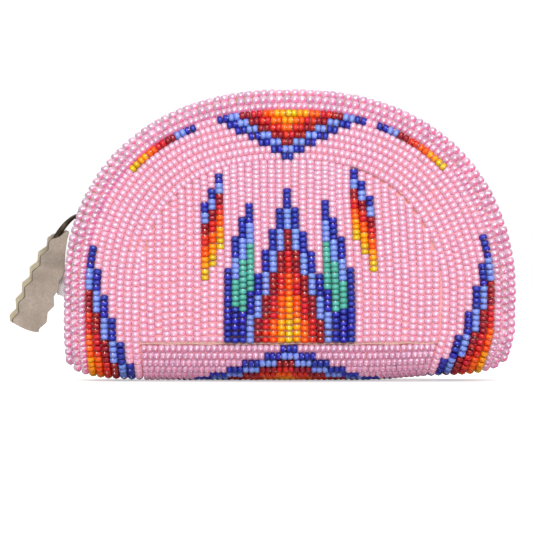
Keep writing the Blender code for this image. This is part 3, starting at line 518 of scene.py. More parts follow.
def column_colour(column, row, crest):
    """Colour of a panel bead, counted from the foot, or None for the pink ground."""
    place = abs(column)
    if place <= MOUNTAIN_COLUMNS:
        down = MOUNTAIN_BEADS - STEP_BEADS * place - 1 - row
        return FIRE[down // STEP_BEADS] if down >= 0 else None
    if place in PLUME:
        down = sum(length for _, length in PLUME[place]) - 1 - row
        if down < 0:
            return None
        for colour, length in PLUME[place]:
            if down < length:
                return colour
            down -= length
    if FEATHER_COLUMN <= place < FEATHER_COLUMN + FEATHER_COLUMNS:
        down = crest - 1 - row
        return FIRE[down // 2] if 0 <= down < FEATHER_BEADS else None
    return None


def column_lean(x, z):
    """The hand-sewn columns lean and sway a little, together with their neighbours."""
    height = z - PANEL_FOOT
    upper = smooth((x - SWELL_START) / UPPER_RUN) * smooth((z - UPPER_START) / UPPER_RISE)
    sway = WAVE * np.sin(height / WAVE_RISE + x / WAVE_RUN) + SMALL_WAVE * np.sin(x / SMALL_WAVE_RUN)
    return sway - COLUMN_LEAN * height - UPPER_LEAN * upper


def string_column(column, side):
    x = column * COLUMN
    place = abs(column)
    top = float(arch_height(x, PANEL_INSET))
    end = RIGHT if column > 0 else LEFT
    count = int(round(rows_below(top) * (OPEN_STRINGING[end] if place >= FEATHER_COLUMN else 1.0)))
    beside_motif = smooth((place - 8) / 2) * (1 - smooth((place - 15) / 3))
    foot = PANEL_FOOT + FOOT_RAISED * float(beside_motif)
    stretch = (top - foot) / (row_height(count) - PANEL_FOOT)
    crest = FEATHER_TOPS[end] - FEATHER_STEP * (place - FEATHER_COLUMN)
    crest = int(round(rows_below(PANEL_FOOT + (crest - foot) / stretch)))
    z = np.linspace(PANEL_FOOT, top, 160)
    sway = x + column_lean(x, z)
    centre = face_point(sway, z, side, BEAD / 2)
    out = facing_out(centre, face_point(sway + BEAD / 4, z, side, BEAD / 2))
    rows = uneven(np.arange(count) + 0.5, count, 1.0, column + 100 * side + 300)
    heights = foot + (row_height(rows) - PANEL_FOOT) * stretch
    points = sampled(heights, z, settled(centre))
    out = unit(sampled(heights, z, out))
    along = unit(np.gradient(points, axis=0))
    ground = "panel_front" if side == AHEAD else "panel_back"
    add_lane(lambda row: column_colour(column, row, crest) or ground, points, along, out)


def string_bottom_row(row):
    """A level row, from the foot of the front panel, under the fold, to the foot of the back one."""
    place = BAND_ROWS - 1 - 2 * row
    side = AHEAD if place > 0 else BEHIND
    x = np.linspace(FIT - PANEL_HALF, PANEL_HALF - FIT, 200)
    travel = travel_at(BAND_TOP, side) * abs(place) / BAND_ROWS
    centre = section(x, travel, side, BEAD / 2)
    out = facing_out(centre, section(x, travel + BEAD / 4, side, BEAD / 2))
    points, along, out = strung(centre, out, LANE_STEP, count=2 * BAND_REACH + 1, lane=row + 500)
    level = min(row, BAND_ROWS - 1 - row)

    def piece_of(place):
        group = abs(int(round((place - BAND_REACH) / 3)))
        return FIRE[level - group] if group <= level else "bottom"

    add_lane(piece_of, points, along, out)


def string_rim(side):
    """The lane beside the edge, and the whipped pairs that roll over it."""
    centre, out = loop_lane(THIRD_INSET, side)
    add_lane(lambda _: "rim", *strung(centre, out, LANE_STEP, ease=LANE_EASE, lane=600 + side))
    centre, out = loop_lane(WHIP_INSET, side)
    points, along, out = strung(centre, out, EDGE_STEP, lane=700 + side)
    add_lane(lambda _: "rim", points, unit(np.cross(along, out)), out, 1.0, ROUND_STRETCH)
    edge = edge_curve(side)
    points, along, _ = strung(edge, np.zeros_like(edge), EDGE_STEP, count=len(points), lane=700 + side)
    away = unit(np.stack([-along[:, 2], 0 * along[:, 0], along[:, 0]], -1))
    away *= np.sign(np.sum(away * (points - (0.0, 0.0, WIDEST_HEIGHT)), -1))[:, None]
    out = unit(away * math.sin(ROLL) + np.array([0.0, side * math.cos(ROLL), 0.0]))
    across = unit(away * math.cos(ROLL) - np.array([0.0, side * math.sin(ROLL), 0.0]))
    add_lane(lambda _: "edge", points, across, out, EDGE_SIZE, ROUND_STRETCH)


for side in (AHEAD, BEHIND):
    for lane in range(BORDER_LANES):
        string_border_lane(lane, side)
for side in (AHEAD, BEHIND):
    for column in range(-COLUMNS, COLUMNS + 1):
        string_column(column, side)
for row in range(BAND_ROWS):
    string_bottom_row(row)
for side in (AHEAD, BEHIND):
    string_rim(side)


# Node trees

SOCKETS = {float: "Float", int: "Int", tuple: "Color", Vector: "Vector"}


class Tree:
    """A node tree as it is built: a call adds a node and gives back the output that is used."""

    def __init__(self, tree):
        self.tree = tree

    def fill(self, made, inputs):
        """Links or fills a node's inputs."""
        for key, value in inputs.items():
            if isinstance(value, bpy.types.NodeSocket):
                self.tree.links.new(value, made.inputs[key])
            else:
                made.inputs[key].default_value = value

    def add(self, kind, inputs=None, **settings):
        """A node's outputs, after its settings are made and its inputs filled."""
        made = self.tree.nodes.new(kind)
        for name, value in settings.items():
            setattr(made, name, value)
        self.fill(made, inputs or {})
        return made.outputs

    def maths(self, operation, *values, **settings):
        return self.add("ShaderNodeMath", dict(enumerate(values)), operation=operation, **settings)[0]

    def vector(self, operation, *values):
        outputs = self.add("ShaderNodeVectorMath", dict(enumerate(values)), operation=operation)
        return outputs["Value" if operation in ("LENGTH", "DOT_PRODUCT") else "Vector"]

    def combine(self, *values):
        return self.add("ShaderNodeCombineXYZ", dict(enumerate(values)))[0]

    def axes(self, place):
        return self.add("ShaderNodeSeparateXYZ", {0: place})

    def span(self, value, low=0.0, high=1.0, first=0.0, last=1.0, kind="LINEAR"):
        """A value carried from one range to another."""
        given = {0: value, 1: low, 2: high, 3: first, 4: last}
        return self.add("ShaderNodeMapRange", given, interpolation_type=kind)[0]

    def mix(self, share, first, second):
        """A colour between two others."""
        return self.add("ShaderNodeMix", {0: share, 6: first, 7: second}, data_type="RGBA")[2]

    def place(self):
        return self.add("ShaderNodeTexCoord")["Object"]

    def noise(self, place, scale, detail=2.0, roughness=0.5):
        given = {"Vector": place, "Scale": scale, "Detail": detail, "Roughness": roughness}
        return self.add("ShaderNodeTexNoise", given)[0]

    def circle(self, points, radius):
        return self.add("GeometryNodeCurvePrimitiveCircle", {"Resolution": points, "Radius": radius})[0]

    def named(self, label, kind="FLOAT"):
        return self.add("GeometryNodeInputNamedAttribute", {"Name": label}, data_type=kind)[0]

    def stored(self, geometry, label, value):
        kept = {"Geometry": geometry, "Name": label, "Value": value}
        return self.add("GeometryNodeStoreNamedAttribute", kept, data_type="FLOAT", domain="POINT")[0]

    def chance(self, low, high, seed):
        return self.add("FunctionNodeRandomValue", {2: low, 3: high, "Seed": seed}, data_type="FLOAT")[1]

    def smoothed(self, geometry):
        return self.add("GeometryNodeSetShadeSmooth", {"Geometry": geometry})[0]

    def on_points(self, points, shape, turn, scale):
        placed = {"Points": points, "Instance": self.smoothed(shape), "Rotation": turn, "Scale": scale}
        return self.finish(self.add("GeometryNodeInstanceOnPoints", placed)[0])

    def give(self, results):
        """The group's outputs, each with its own name."""
        for label in results:
            kind = label if label in ("Color", "Geometry") else "Float"
            self.tree.interface.new_socket(label, in_out="OUTPUT", socket_type=f"NodeSocket{kind}")
        self.add("NodeGroupOutput", results)
        return self.tree

    def finish(self, geometry):
        """How every tree that makes a piece ends: real faces, in the piece's material."""
        real = self.add("GeometryNodeRealizeInstances", {0: geometry})[0]
        dressed = {"Geometry": real, "Material": self.given["Material"]}
        return self.give({"Geometry": self.add("GeometryNodeSetMaterial", dressed)[0]})

    def surface(self, colour, height, strength, distance, others):
        """Links a material's colour and bump, and fills its shader's other inputs."""
        bump = self.add("ShaderNodeBump", {"Height": height, "Strength": strength, "Distance": distance})
        self.fill(self.shader, {"Base Color": colour, "Normal": bump[0], **others})


def new_group(name, kind, inputs):
    """A node group with named inputs: a default gives its input's type, and an input without one its name."""
    tree = Tree(bpy.data.node_groups.new(name, kind))
    for label, default in inputs.items():
        socket_type = "NodeSocket" + SOCKETS.get(type(default), label)
        socket = tree.tree.interface.new_socket(label, in_out="INPUT", socket_type=socket_type)
        if default is not None:
            socket.default_value = default
    tree.given = tree.add("NodeGroupInput")
    return tree


def bead_tree():
    """Puts a ring bead on every point, turned by the point's own attribute, with small seeded differences."""
    sizes = {"Diameter": BEAD_DIAMETER, "Length": BEAD_LENGTH, "Hole": BEAD_HOLE, "Segments": 8}
    chances = {"Tilt": 0.09, "Size Difference": 0.05, "Seed": 1}
    inputs = {"Geometry": None, **sizes, **chances, "Material": None}
    tree = new_group("beads on points", "GeometryNodeTree", inputs)
    given, maths = tree.given, tree.maths
    radius = maths("MULTIPLY", given["Diameter"], 0.5)
    hole_radius = maths("MULTIPLY", given["Hole"], 0.5)
    wall = maths("MULTIPLY", maths("SUBTRACT", radius, hole_radius), 0.5)
    half_length = maths("MULTIPLY", given["Length"], 0.5)
    ring = tree.circle(given["Segments"], maths("ADD", hole_radius, wall))
    profile = {0: tree.circle(9, 1.0), "Scale": tree.combine(wall, half_length, 1.0)}
    profile = tree.add("GeometryNodeTransform", profile)[0]
    bead = tree.add("GeometryNodeCurveToMesh", {"Curve": ring, "Profile Curve": profile})[0]
    axes = tree.axes(tree.add("GeometryNodeInputPosition")[0])
    for label, axis, reach in (("crown", "X", radius), ("across", "Y", radius), ("along", "Z", half_length)):
        bead = tree.stored(bead, label, maths("DIVIDE", axes[axis], reach))
    points = tree.stored(given["Geometry"], "tone", tree.chance(0.0, 1.0, given["Seed"]))
    low = maths("MULTIPLY", given["Tilt"], -1.0)
    lean = {0: tree.combine(low, low, low), 1: tree.combine(given["Tilt"], given["Tilt"], given["Tilt"])}
    lean["Seed"] = maths("ADD", given["Seed"], 17.0)
    lean = tree.add("FunctionNodeRandomValue", lean, data_type="FLOAT_VECTOR")[0]
    turn = {0: tree.named("turn", "QUATERNION"), 1: tree.add("FunctionNodeEulerToRotation", {0: lean})[0]}
    turn = tree.add("FunctionNodeRotateRotation", turn, rotation_space="LOCAL")[0]
    change = given["Size Difference"]
    seed = maths("ADD", given["Seed"], 41.0)
    size = tree.chance(maths("SUBTRACT", 1.0, change), maths("ADD", 1.0, change), seed)
    size = maths("MULTIPLY", size, tree.named("size"))
    longer = maths("MULTIPLY", size, tree.named("stretch"))
    return tree.on_points(points, bead, turn, tree.combine(size, size, longer))


def thread_tree():
    """Makes every edge path of a mesh a round thread."""
    inputs = {"Geometry": None, "Thickness": 0.0003, "Sides": 5, "Material": None}
    tree = new_group("thread along paths", "GeometryNodeTree", inputs)
    radius = tree.maths("MULTIPLY", tree.given["Thickness"], 0.5)
    thread = {
        "Curve": tree.add("GeometryNodeMeshToCurve", {0: tree.given["Geometry"]})[0],
        "Profile Curve": tree.circle(tree.given["Sides"], radius),
        "Fill Caps": True,
    }
    return tree.finish(tree.smoothed(tree.add("GeometryNodeCurveToMesh", thread)[0]))


def tooth_tree():
    """A rounded block on every point: a zip's tooth."""
    inputs = {"Geometry": None, "Size": Vector(TOOTH_SIZE), "Roundness": 0.4, "Seed": 3, "Material": None}
    tree = new_group("teeth on points", "GeometryNodeTree", inputs)
    given = tree.given
    sides = {"Size": (1.0, 1.0, 1.0), "Vertices X": 4, "Vertices Y": 4, "Vertices Z": 3}
    block = tree.add("GeometryNodeMeshCube", sides)[0]
    place = tree.add("GeometryNodeInputPosition")[0]
    ball = tree.vector("MULTIPLY", tree.vector("NORMALIZE", place), (0.62, 0.62, 0.62))
    rounded = {0: given["Roundness"], 4: place, 5: ball}
    rounded = tree.add("ShaderNodeMix", rounded, data_type="VECTOR")[1]
    shaped = {"Geometry": block, "Position": tree.vector("MULTIPLY", rounded, given["Size"])}
    shaped = tree.add("GeometryNodeSetPosition", shaped)[0]
    size = tree.chance(0.96, 1.04, given["Seed"])
    return tree.on_points(given["Geometry"], shaped, tree.named("turn", "QUATERNION"), size)


def grown(name, mesh, tree, values):
    """The plain object that a tree grows from a mesh of points or paths."""
    guide = bpy.data.objects.new(name + "_guide", mesh)
    modifier = guide.modifiers.new("grow", "NODES")
    modifier.node_group = tree
    for item in tree.interface.items_tree:
        if item.in_out == "INPUT" and item.name in values:
            modifier[item.identifier] = values[item.name]
    bpy.context.scene.collection.objects.link(guide)
    graph = bpy.context.evaluated_depsgraph_get()
    result = bpy.data.meshes.new_from_object(guide.evaluated_get(graph))
    bpy.data.objects.remove(guide)
    result.name = name
    piece = bpy.data.objects.new(name, result)
    bpy.context.scene.collection.objects.link(piece)
    return piece


# Materials


def paint(red, green, blue):
    """A colour as seen on a screen, 0 to 255, turned into the linear values that a shader takes."""
    linear = [((c / 255 + 0.055) / 1.055) ** 2.4 if c > 10 else c / 255 / 12.92 for c in (red, green, blue)]
    return (*linear, 1.0)


def glass_group():
    """Colour of a glass bead, with painted light: its sides painted deeper, a painted highlight spot on its
    crown, painted glints near its holes, a painted glow on its far side from the lamp, and each bead a little
    different.
    """
    colours = {"Body": (0.8, 0.4, 0.5, 1.0), "Side": (0.6, 0.2, 0.3, 1.0), "Crown": (1.0, 0.8, 0.9, 1.0)}
    spots = {"Spot Width": 0.34, "Spot Length": 0.30, "Difference": 0.12, "Gloss": 0.2}
    glows = {"Glow": (0.8, 0.2, 0.4, 1.0), "Glow Share": 0.0, "Glint": 0.6}
    tree = new_group("bead glass", "ShaderNodeTree", {**colours, **spots, **glows})
    given, maths, mix = tree.given, tree.maths, tree.mix
    labels = ("crown", "tone", "across", "along")
    marks = [tree.add("ShaderNodeAttribute", attribute_name=label)["Fac"] for label in labels]
    crown, tone, across, along = marks
    # Painted shade: a bead's sides, where it meets its neighbours, take the deeper shaded side colour,
    # together with the deeper colour of thicker glass.
    colour = mix(tree.span(crown, 0.05, 0.75, kind="SMOOTHSTEP"), given["Side"], given["Body"])
    # Painted glow: the bead's lower right side, away from the lamp, takes the glow colour, as if light
    # through the glass gathered there.
    glow_facing = tree.vector("DOT_PRODUCT", tree.add("ShaderNodeNewGeometry")["Normal"], PAINTED_GLOW_SIDE)
    colour = mix(tree.span(glow_facing, 0.55, 0.85, 0.0, given["Glow Share"], "SMOOTHSTEP"), colour, given["Glow"])
    # Painted highlight: a spot of the highlight colour in the middle of each bead's crown.
    wide = maths("DIVIDE", across, given["Spot Width"])
    long = maths("DIVIDE", along, given["Spot Length"])
    spot = tree.span(tree.vector("LENGTH", tree.combine(wide, long)), 1.0, 0.45, kind="SMOOTHSTEP")
    colour = mix(maths("MULTIPLY", spot, tree.span(crown, 0.5, 0.7)), colour, given["Crown"])
    # Painted glints: white dots near the holes of some beads, standing in for reflections there.
    painted_glint = maths("MULTIPLY", maths("COMPARE", along, 0.82, 0.18), maths("COMPARE", across, -0.05, 0.11))
    painted_glint = maths("MULTIPLY", painted_glint, maths("GREATER_THAN", tone, 0.62))
    painted_glint = maths("MULTIPLY", painted_glint, maths("GREATER_THAN", crown, 0.3))
    painted_glint = maths("MULTIPLY", painted_glint, given["Glint"])
    colour = mix(painted_glint, mix(painted_glint, colour, given["Crown"]), WHITE)
    changed = {
        "Hue": maths("MULTIPLY_ADD", tone, 0.012, 0.494),
        "Value": maths("MULTIPLY_ADD", maths("SUBTRACT", tone, 0.5), given["Difference"], 1.0),
        "Color": colour,
    }
    cloud = tree.noise(tree.place(), 900.0)
    results = {"Color": tree.add("ShaderNodeHueSaturation", changed)[0]}
    results["Roughness"] = maths("MULTIPLY_ADD", cloud, 0.12, given["Gloss"])
    return tree.give(results)


def grain_group():
    """Leather's grain: soft pores and creases, with a colour drift."""
    inputs = {"Color": (0.6, 0.5, 0.4, 1.0), "Shade": (0.4, 0.3, 0.2, 1.0), "Scale": 900.0, "Depth": 0.3}
    tree = new_group("hide grain", "ShaderNodeTree", inputs)
    given, place = tree.given, tree.place()
    fine = tree.noise(place, given["Scale"], 6.0, 0.65)
    wide = tree.noise(place, tree.maths("MULTIPLY", given["Scale"], 0.12), 3.0)
    share = tree.span(tree.maths("MULTIPLY", fine, wide), 0.12, 0.42)
    results = {"Color": tree.mix(share, given["Shade"], given["Color"])}
    results["Roughness"] = tree.span(fine, 0.0, 1.0, 0.78, 0.98)
    results["Height"] = tree.maths("MULTIPLY", fine, given["Depth"])
    return tree.give(results)


def wear_group():
    """Antique metal: dark in its hollows, rubbed and scratched where it is handled."""
    inputs = {"Dark": (0.03, 0.02, 0.02, 1.0), "Rubbed": (0.4, 0.3, 0.2, 1.0), "Scale": 500.0, "Wear": 0.5}
    tree = new_group("rubbed metal", "ShaderNodeTree", inputs)
    given = tree.given
    noise = tree.noise(tree.place(), given["Scale"], 5.0)
    edge = tree.span(tree.add("ShaderNodeNewGeometry")["Pointiness"], 0.49, 0.56)
    total = tree.maths("ADD", tree.maths("MULTIPLY", edge, noise), tree.span(noise, 0.52, 0.72))
    share = tree.maths("MULTIPLY", total, given["Wear"], use_clamp=True)
    results = {"Color": tree.mix(share, given["Dark"], given["Rubbed"])}
    results["Roughness"] = tree.span(share, 0.0, 1.0, 0.48, 0.28)
    results["Height"] = noise
    return tree.give(results)


GLASS = glass_group()
GRAIN = grain_group()
WEAR = wear_group()


def new_material(name):
    material = bpy.data.materials.new(name)
    material.use_nodes = True
    tree = Tree(material.node_tree)
    tree.tree.nodes.clear()
    tree.shader = tree.tree.nodes.new("ShaderNodeBsdfPrincipled")
    tree.add("ShaderNodeOutputMaterial", {0: tree.shader.outputs[0]})
    return material, tree


def glass_material(
    name, body, side, crown, spot, difference, gloss, coat, depth, clear, lustre=1.5, painted_glow=None
):
    """Bead glass: depth is how far light spreads in it, in millimetres, and clear how much light it lets by.
    A bead glows a little by painted emission, and where a glow colour is given it is painted on the bead's
    far side from the lamp: painted light, in place of light that has gone through the glass."""
    material, tree = new_material(name)
    look = {
        "Body": paint(*body),
        "Side": paint(*side),
        "Crown": paint(*crown),
        "Spot Width": spot,
        "Spot Length": 0.9 * spot,
        "Difference": difference,
        "Gloss": gloss,
        "Glow": paint(*(painted_glow or body)),
        "Glow Share": 0.8 if painted_glow else 0.0,
        "Glint": 0.0 if painted_glow else 0.7,
    }
    look = tree.add("ShaderNodeGroup", look, node_tree=GLASS)
    shadow = tree.add("ShaderNodeLightPath")["Is Shadow Ray"]
    shading = {
        "Base Color": look["Color"],
        "Roughness": look["Roughness"],
        "Coat Weight": coat,
        "Coat Roughness": 0.08,
        "Coat IOR": lustre,
        "Specular IOR Level": 0.3,
        "Subsurface Weight": 1.0,
        "Subsurface Radius": (1.0, 0.5, 0.6),
        "Subsurface Scale": depth / 1000,
        "Alpha": tree.maths("MULTIPLY_ADD", shadow, -clear, 1.0),
        # Painted glow: each bead emits a little of its own colour, more the clearer it is, in place of light
        # carried through the glass.
        "Emission Color": look["Color"],
        "Emission Strength": PAINTED_INNER_GLOW * clear,
    }
    tree.fill(tree.shader, shading)
    return material


def grained_material(name, group, look, strength, distance, others):
    """A material that takes its colour, roughness and bump from a shared group."""
    material, tree = new_material(name)
    look = tree.add("ShaderNodeGroup", look, node_tree=group)
    others = {"Roughness": look["Roughness"], **others}
    tree.surface(look["Color"], look["Height"], strength, distance, others)
    return material


def leather_material(name, colour, shade, scale, depth, sheen):
    look = {"Color": paint(*colour), "Shade": paint(*shade), "Scale": scale, "Depth": depth}
    return grained_material(name, GRAIN, look, 0.6, 0.0004, {"Sheen Weight": sheen, "Sheen Roughness": 0.5})


def metal_material(name, dark, rubbed, scale, wear):
    look = {"Dark": paint(*dark), "Rubbed": paint(*rubbed), "Scale": scale, "Wear": wear}
    return grained_material(name, WEAR, look, 0.15, 0.0002, {"Metallic": 0.9})


def woven_material(name, warp, weft, threads):
    """Woven tape, on the strip's own UV map in metres."""
    material, tree = new_material(name)
    place = tree.add("ShaderNodeUVMap", uv_map="cloth")[0]
    axes = tree.axes(place)
    over, under = (tree.maths("SINE", tree.maths("MULTIPLY", axes[i], threads)) for i in (0, 1))
    crossing = tree.maths("MULTIPLY", over, under)
    noise = tree.noise(place, 700.0, 3.0)
    soft = tree.add("ShaderNodeMix", {0: 0.2, 2: tree.span(crossing, -0.6, 0.6), 3: noise})[0]
    colour = tree.mix(soft, paint(*warp), paint(*weft))
    tree.surface(colour, crossing, 0.5, 0.0001, {"Roughness": 0.9, "Sheen Weight": 0.15})
    return material


def thread_material(name, colour, shade):
    """Twisted sewing thread: fine slanting ply lines."""
    material, tree = new_material(name)
    ply = {"Vector": tree.place(), "Scale": 900.0, "Distortion": 2.0}
    ply = tree.add("ShaderNodeTexWave", ply, bands_direction="DIAGONAL")[1]
    tree.surface(tree.mix(ply, paint(*shade), paint(*colour)), ply, 0.4, 0.00005, {"Roughness": 0.7})
    return material


# Each pink: body colour, side colour with painted shade, and painted highlight colour; each also gets a
# painted glow colour.
PINK = ((213, 171, 195), (219, 171, 188), (247, 228, 240))
# The bottom rows' pink is a darker copy of the pink: painted shade on the beads under the fold.
SHADED_BAND_PINK = ((206, 160, 186), (204, 158, 180), (250, 238, 247))
CLEAR_PINK = ((200, 165, 188), (220, 192, 202), (255, 252, 255))
PINK_GLASS = glass_material(
    "pearl_pink_glass", *PINK, 0.34, 0.08, 0.14, 1.0, 1.6, 0.93, lustre=1.7, painted_glow=(252, 160, 184)
)
SHADED_BAND_GLASS = glass_material(
    "shaded_pink_glass", *SHADED_BAND_PINK, 0.30, 0.12, 0.12, 1.0, 1.4, 0.9, lustre=1.8, painted_glow=(216, 130, 166)
)
EDGE_GLASS = glass_material(
    "clear_pink_glass", *CLEAR_PINK, 0.30, 0.20, 0.08, 1.0, 1.4, 0.93, lustre=1.9, painted_glow=(232, 104, 164)
)
SPECIAL_PINKS = {"edge": EDGE_GLASS, "rim": EDGE_GLASS, "bottom": SHADED_BAND_GLASS}
# Each colour's look: body colour, side colour with painted shade, painted highlight colour, highlight spot
# width, difference, gloss, coat, depth, clear.
BEAD_LOOKS = {
    "dark_blue": ((32, 38, 160), (20, 22, 116), (48, 62, 196), 0.6, 0.25, 0.30, 0.5, 0.4, 0.2),
    "light_blue": ((122, 146, 224), (102, 124, 208), (142, 164, 232), 0.7, 0.12, 0.35, 0.4, 0.4, 0.3),
    "burgundy": ((152, 6, 26), (116, 0, 14), (196, 44, 56), 0.34, 0.30, 0.16, 0.6, 0.8, 0.5),
    "red": ((206, 24, 22), (180, 12, 14), (232, 62, 44), 0.38, 0.18, 0.20, 0.4, 0.8, 0.5),
    "orange": ((240, 92, 4), (226, 70, 0), (255, 128, 24), 0.45, 0.12, 0.22, 0.3, 0.8, 0.5),
    "amber": ((242, 154, 0), (230, 128, 0), (252, 182, 20), 0.5, 0.10, 0.22, 0.3, 0.8, 0.5),
    "yellow": ((214, 176, 0), (172, 134, 0), (246, 224, 70), 0.4, 0.15, 0.14, 0.5, 1.0, 0.7),
    "turquoise": ((80, 174, 158), (62, 150, 136), (100, 190, 176), 0.6, 0.15, 0.35, 0.4, 0.4, 0.3),
}
BEAD_GLASS = {colour: glass_material(f"{colour}_glass", *look) for colour, look in BEAD_LOOKS.items()}
# The hide is cream, as its bare inner faces show; its outer face is tinted pink: painted light that the
# translucent pink beads pass onto it.
HIDE_LEATHER = leather_material("hide_tinted_with_painted_pink_light", (255, 196, 194), (242, 172, 166), 700.0, 0.5, 0.2)
BARE_LEATHER = leather_material("bare_hide", (240, 228, 204), (214, 196, 166), 700.0, 0.5, 0.2)
SUEDE_LEATHER = leather_material("taupe_suede", (178, 163, 150), (148, 134, 120), 1600.0, 0.7, 0.4)
CUT_SUEDE = leather_material("cut_suede_edge", (196, 184, 158), (170, 156, 128), 2200.0, 0.8, 0.3)
# The front layer's cut edge is dark: a painted shadow between the two suede layers.
PAINTED_SHADOW_EDGE = leather_material("suede_edge_painted_shadow", (122, 108, 90), (92, 78, 62), 2200.0, 0.8, 0.1)
ANTIQUE_METAL = metal_material("antique_metal", (24, 20, 17), (140, 122, 98), 420.0, 0.45)
ZIP_METAL = metal_material("zip_metal", (92, 86, 78), (178, 168, 150), 300.0, 0.8)
TAPE_CLOTH = woven_material("zip_tape_cloth", (208, 200, 200), (236, 230, 230), 9000.0)
THREAD = thread_material("sewing_thread", (240, 208, 194), (226, 186, 170))
EDGE_THREAD = thread_material("edge_thread", (206, 176, 120), (150, 112, 66))


# Meshes and pieces


def add_piece(name, mesh, *materials):
    piece = bpy.data.objects.new(name, mesh)
    for material in materials:
        mesh.materials.append(material)
    bpy.context.scene.collection.objects.link(piece)
    return piece


def carried(piece, body, slot, *nodes):
    """Puts a piece on its body, in place of the CAD nodes that it stands for."""
    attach(piece, body)
    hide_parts(*nodes)


def smoothed(mesh, angle=None):
    """The mesh with soft shading, and sharp edges where it turns by more than an angle in degrees."""
    mesh.shade_smooth()
    if angle:
        mesh.set_sharp_from_angle(angle=math.radians(angle))
    return mesh


def solid_mesh(name, points, faces):
    """A closed mesh with its faces pointing outwards."""
    mesh = bpy.data.meshes.new(name)
    mesh.from_pydata([tuple(point) for point in points], [], faces)
    shape = bmesh.new()
    shape.from_mesh(mesh)
    bmesh.ops.recalc_face_normals(shape, faces=shape.faces)
    shape.to_mesh(mesh)
    shape.free()
    return mesh


def ring_mesh(name, rings, closed=False, strips=False):
    """A smooth solid through rings of points: a loop, or a bar with its ends filled, whole or in strips."""
    count, last = len(rings[0]), len(rings) - 1
    faces = []
    for i in range(last + closed):
        start, after = i * count, (i + 1) % len(rings) * count
        for j in range(count):
            k = (j + 1) % count
            faces.append((start + j, start + k, after + k, after + j))
    for start in () if closed else (0, last * count):
        if strips:
            far = start + count - 1
            faces += [(start + j, start + j + 1, far - j - 1, far - j) for j in range(count // 2 - 1)]
        else:
            faces.append(tuple(range(start, start + count)))
    return smoothed(solid_mesh(name, [point for ring in rings for point in ring], faces))


def joined(name, meshes):
    """One mesh of several closed solids."""
    shape = bmesh.new()
    for mesh in meshes:
        shape.from_mesh(mesh)
    result = bpy.data.meshes.new(name)
    shape.to_mesh(result)
    shape.free()
    return result


def softened(mesh, width, segments=2):
    """The same solid with its sharp edges rounded."""
    shape = bmesh.new()
    shape.from_mesh(mesh)
    sharp = [edge for edge in shape.edges if edge.calc_face_angle(0.0) > math.radians(35)]
    bevel = {"offset": width, "segments": segments, "profile": 0.5, "affect": "EDGES", "clamp_overlap": True}
    bmesh.ops.bevel(shape, geom=sharp, **bevel)
    bmesh.ops.recalc_face_normals(shape, faces=shape.faces)
    shape.to_mesh(mesh)
    shape.free()
    return smoothed(mesh, 50)


def squarish(value, power):
    """A sine or cosine pushed out towards a rounded square's."""
    return math.copysign(abs(value) ** power, value)


def point_mesh(name, placed):
    """Bead places as a mesh of loose points that carry each bead's turn and size."""
    mesh = bpy.data.meshes.new(name)
    mesh.from_pydata([tuple(bead[0]) for bead in placed], [], [])
    turns = []
    for _, along, out, _, _ in placed:
        z = Vector(along).normalized()
        x = Vector(out)
        x = (x - z * x.dot(z)).normalized()
        turns += list(Matrix((x, z.cross(x), z)).transposed().to_quaternion())
    mesh.attributes.new("turn", "QUATERNION", "POINT").data.foreach_set("value", turns)
    for label, i in (("size", 3), ("stretch", 4)):
        mesh.attributes.new(label, "FLOAT", "POINT").data.foreach_set("value", [bead[i] for bead in placed])
    return mesh


def path_mesh(name, paths):
    """Threads as a mesh of plain edges."""
    points = []
    edges = []
    for path in paths:
        edges += [(len(points) + i, len(points) + i + 1) for i in range(len(path) - 1)]
        points += [tuple(point) for point in path]
    mesh = bpy.data.meshes.new(name)
    mesh.from_pydata(points, edges, [])
    return mesh


# Beads, in place of the CAD's fields of each colour

FIELD_NODES = {colour: [f"mountain_{colour}"] for colour in FIRE}
FIELD_NODES["dark_blue"] += ["left_plume_blue", "right_plume_blue"]
MOTIFS = ("left_feather", "right_feather", "left_flame", "right_flame", "arch_triangle", "bottom_diamond")
for colour in ("dark_blue", "red", "amber"):
    FIELD_NODES[colour] += [f"{motif}_{colour}" for motif in MOTIFS]
FIELD_NODES["red"] += ["left_streak", "right_streak"]
FIELD_NODES["turquoise"] = ["left_plume_turquoise", "right_plume_turquoise"]
PINK_NODES = {
    "panel_front": "front_panel_beads",
    "panel_back": "back_panel_beads",
    "border_left": "border_beads_left",
    "border_right": "border_beads_right",
    "border_back": "border_beads_back",
    "bottom": "bottom_beads",
    "rim": "rim_beads",
    "edge": "edge_beads",
}
BEAD_TREE = bead_tree()
for seed, (group, placed) in enumerate(sorted(BEADS.items())):
    values = {"Seed": seed + 1}
    if group in PINK_NODES:
        name, slot, nodes = f"{group}_pink_beads", "pink", [PINK_NODES[group]]
        values["Material"] = SPECIAL_PINKS.get(group, PINK_GLASS)
        values.update({"Diameter": PINK_DIAMETER, "Length": PINK_LENGTH})
    else:
        name, slot, nodes = f"{group}_glass_beads", group, FIELD_NODES[group]
        values["Material"] = BEAD_GLASS[group]
        values.update({"Diameter": BEAD_DIAMETER, "Length": BEAD_LENGTH})
    carried(grown(name, point_mesh(name + "_places", placed), BEAD_TREE, values), "purse", slot, *nodes)


# Threads


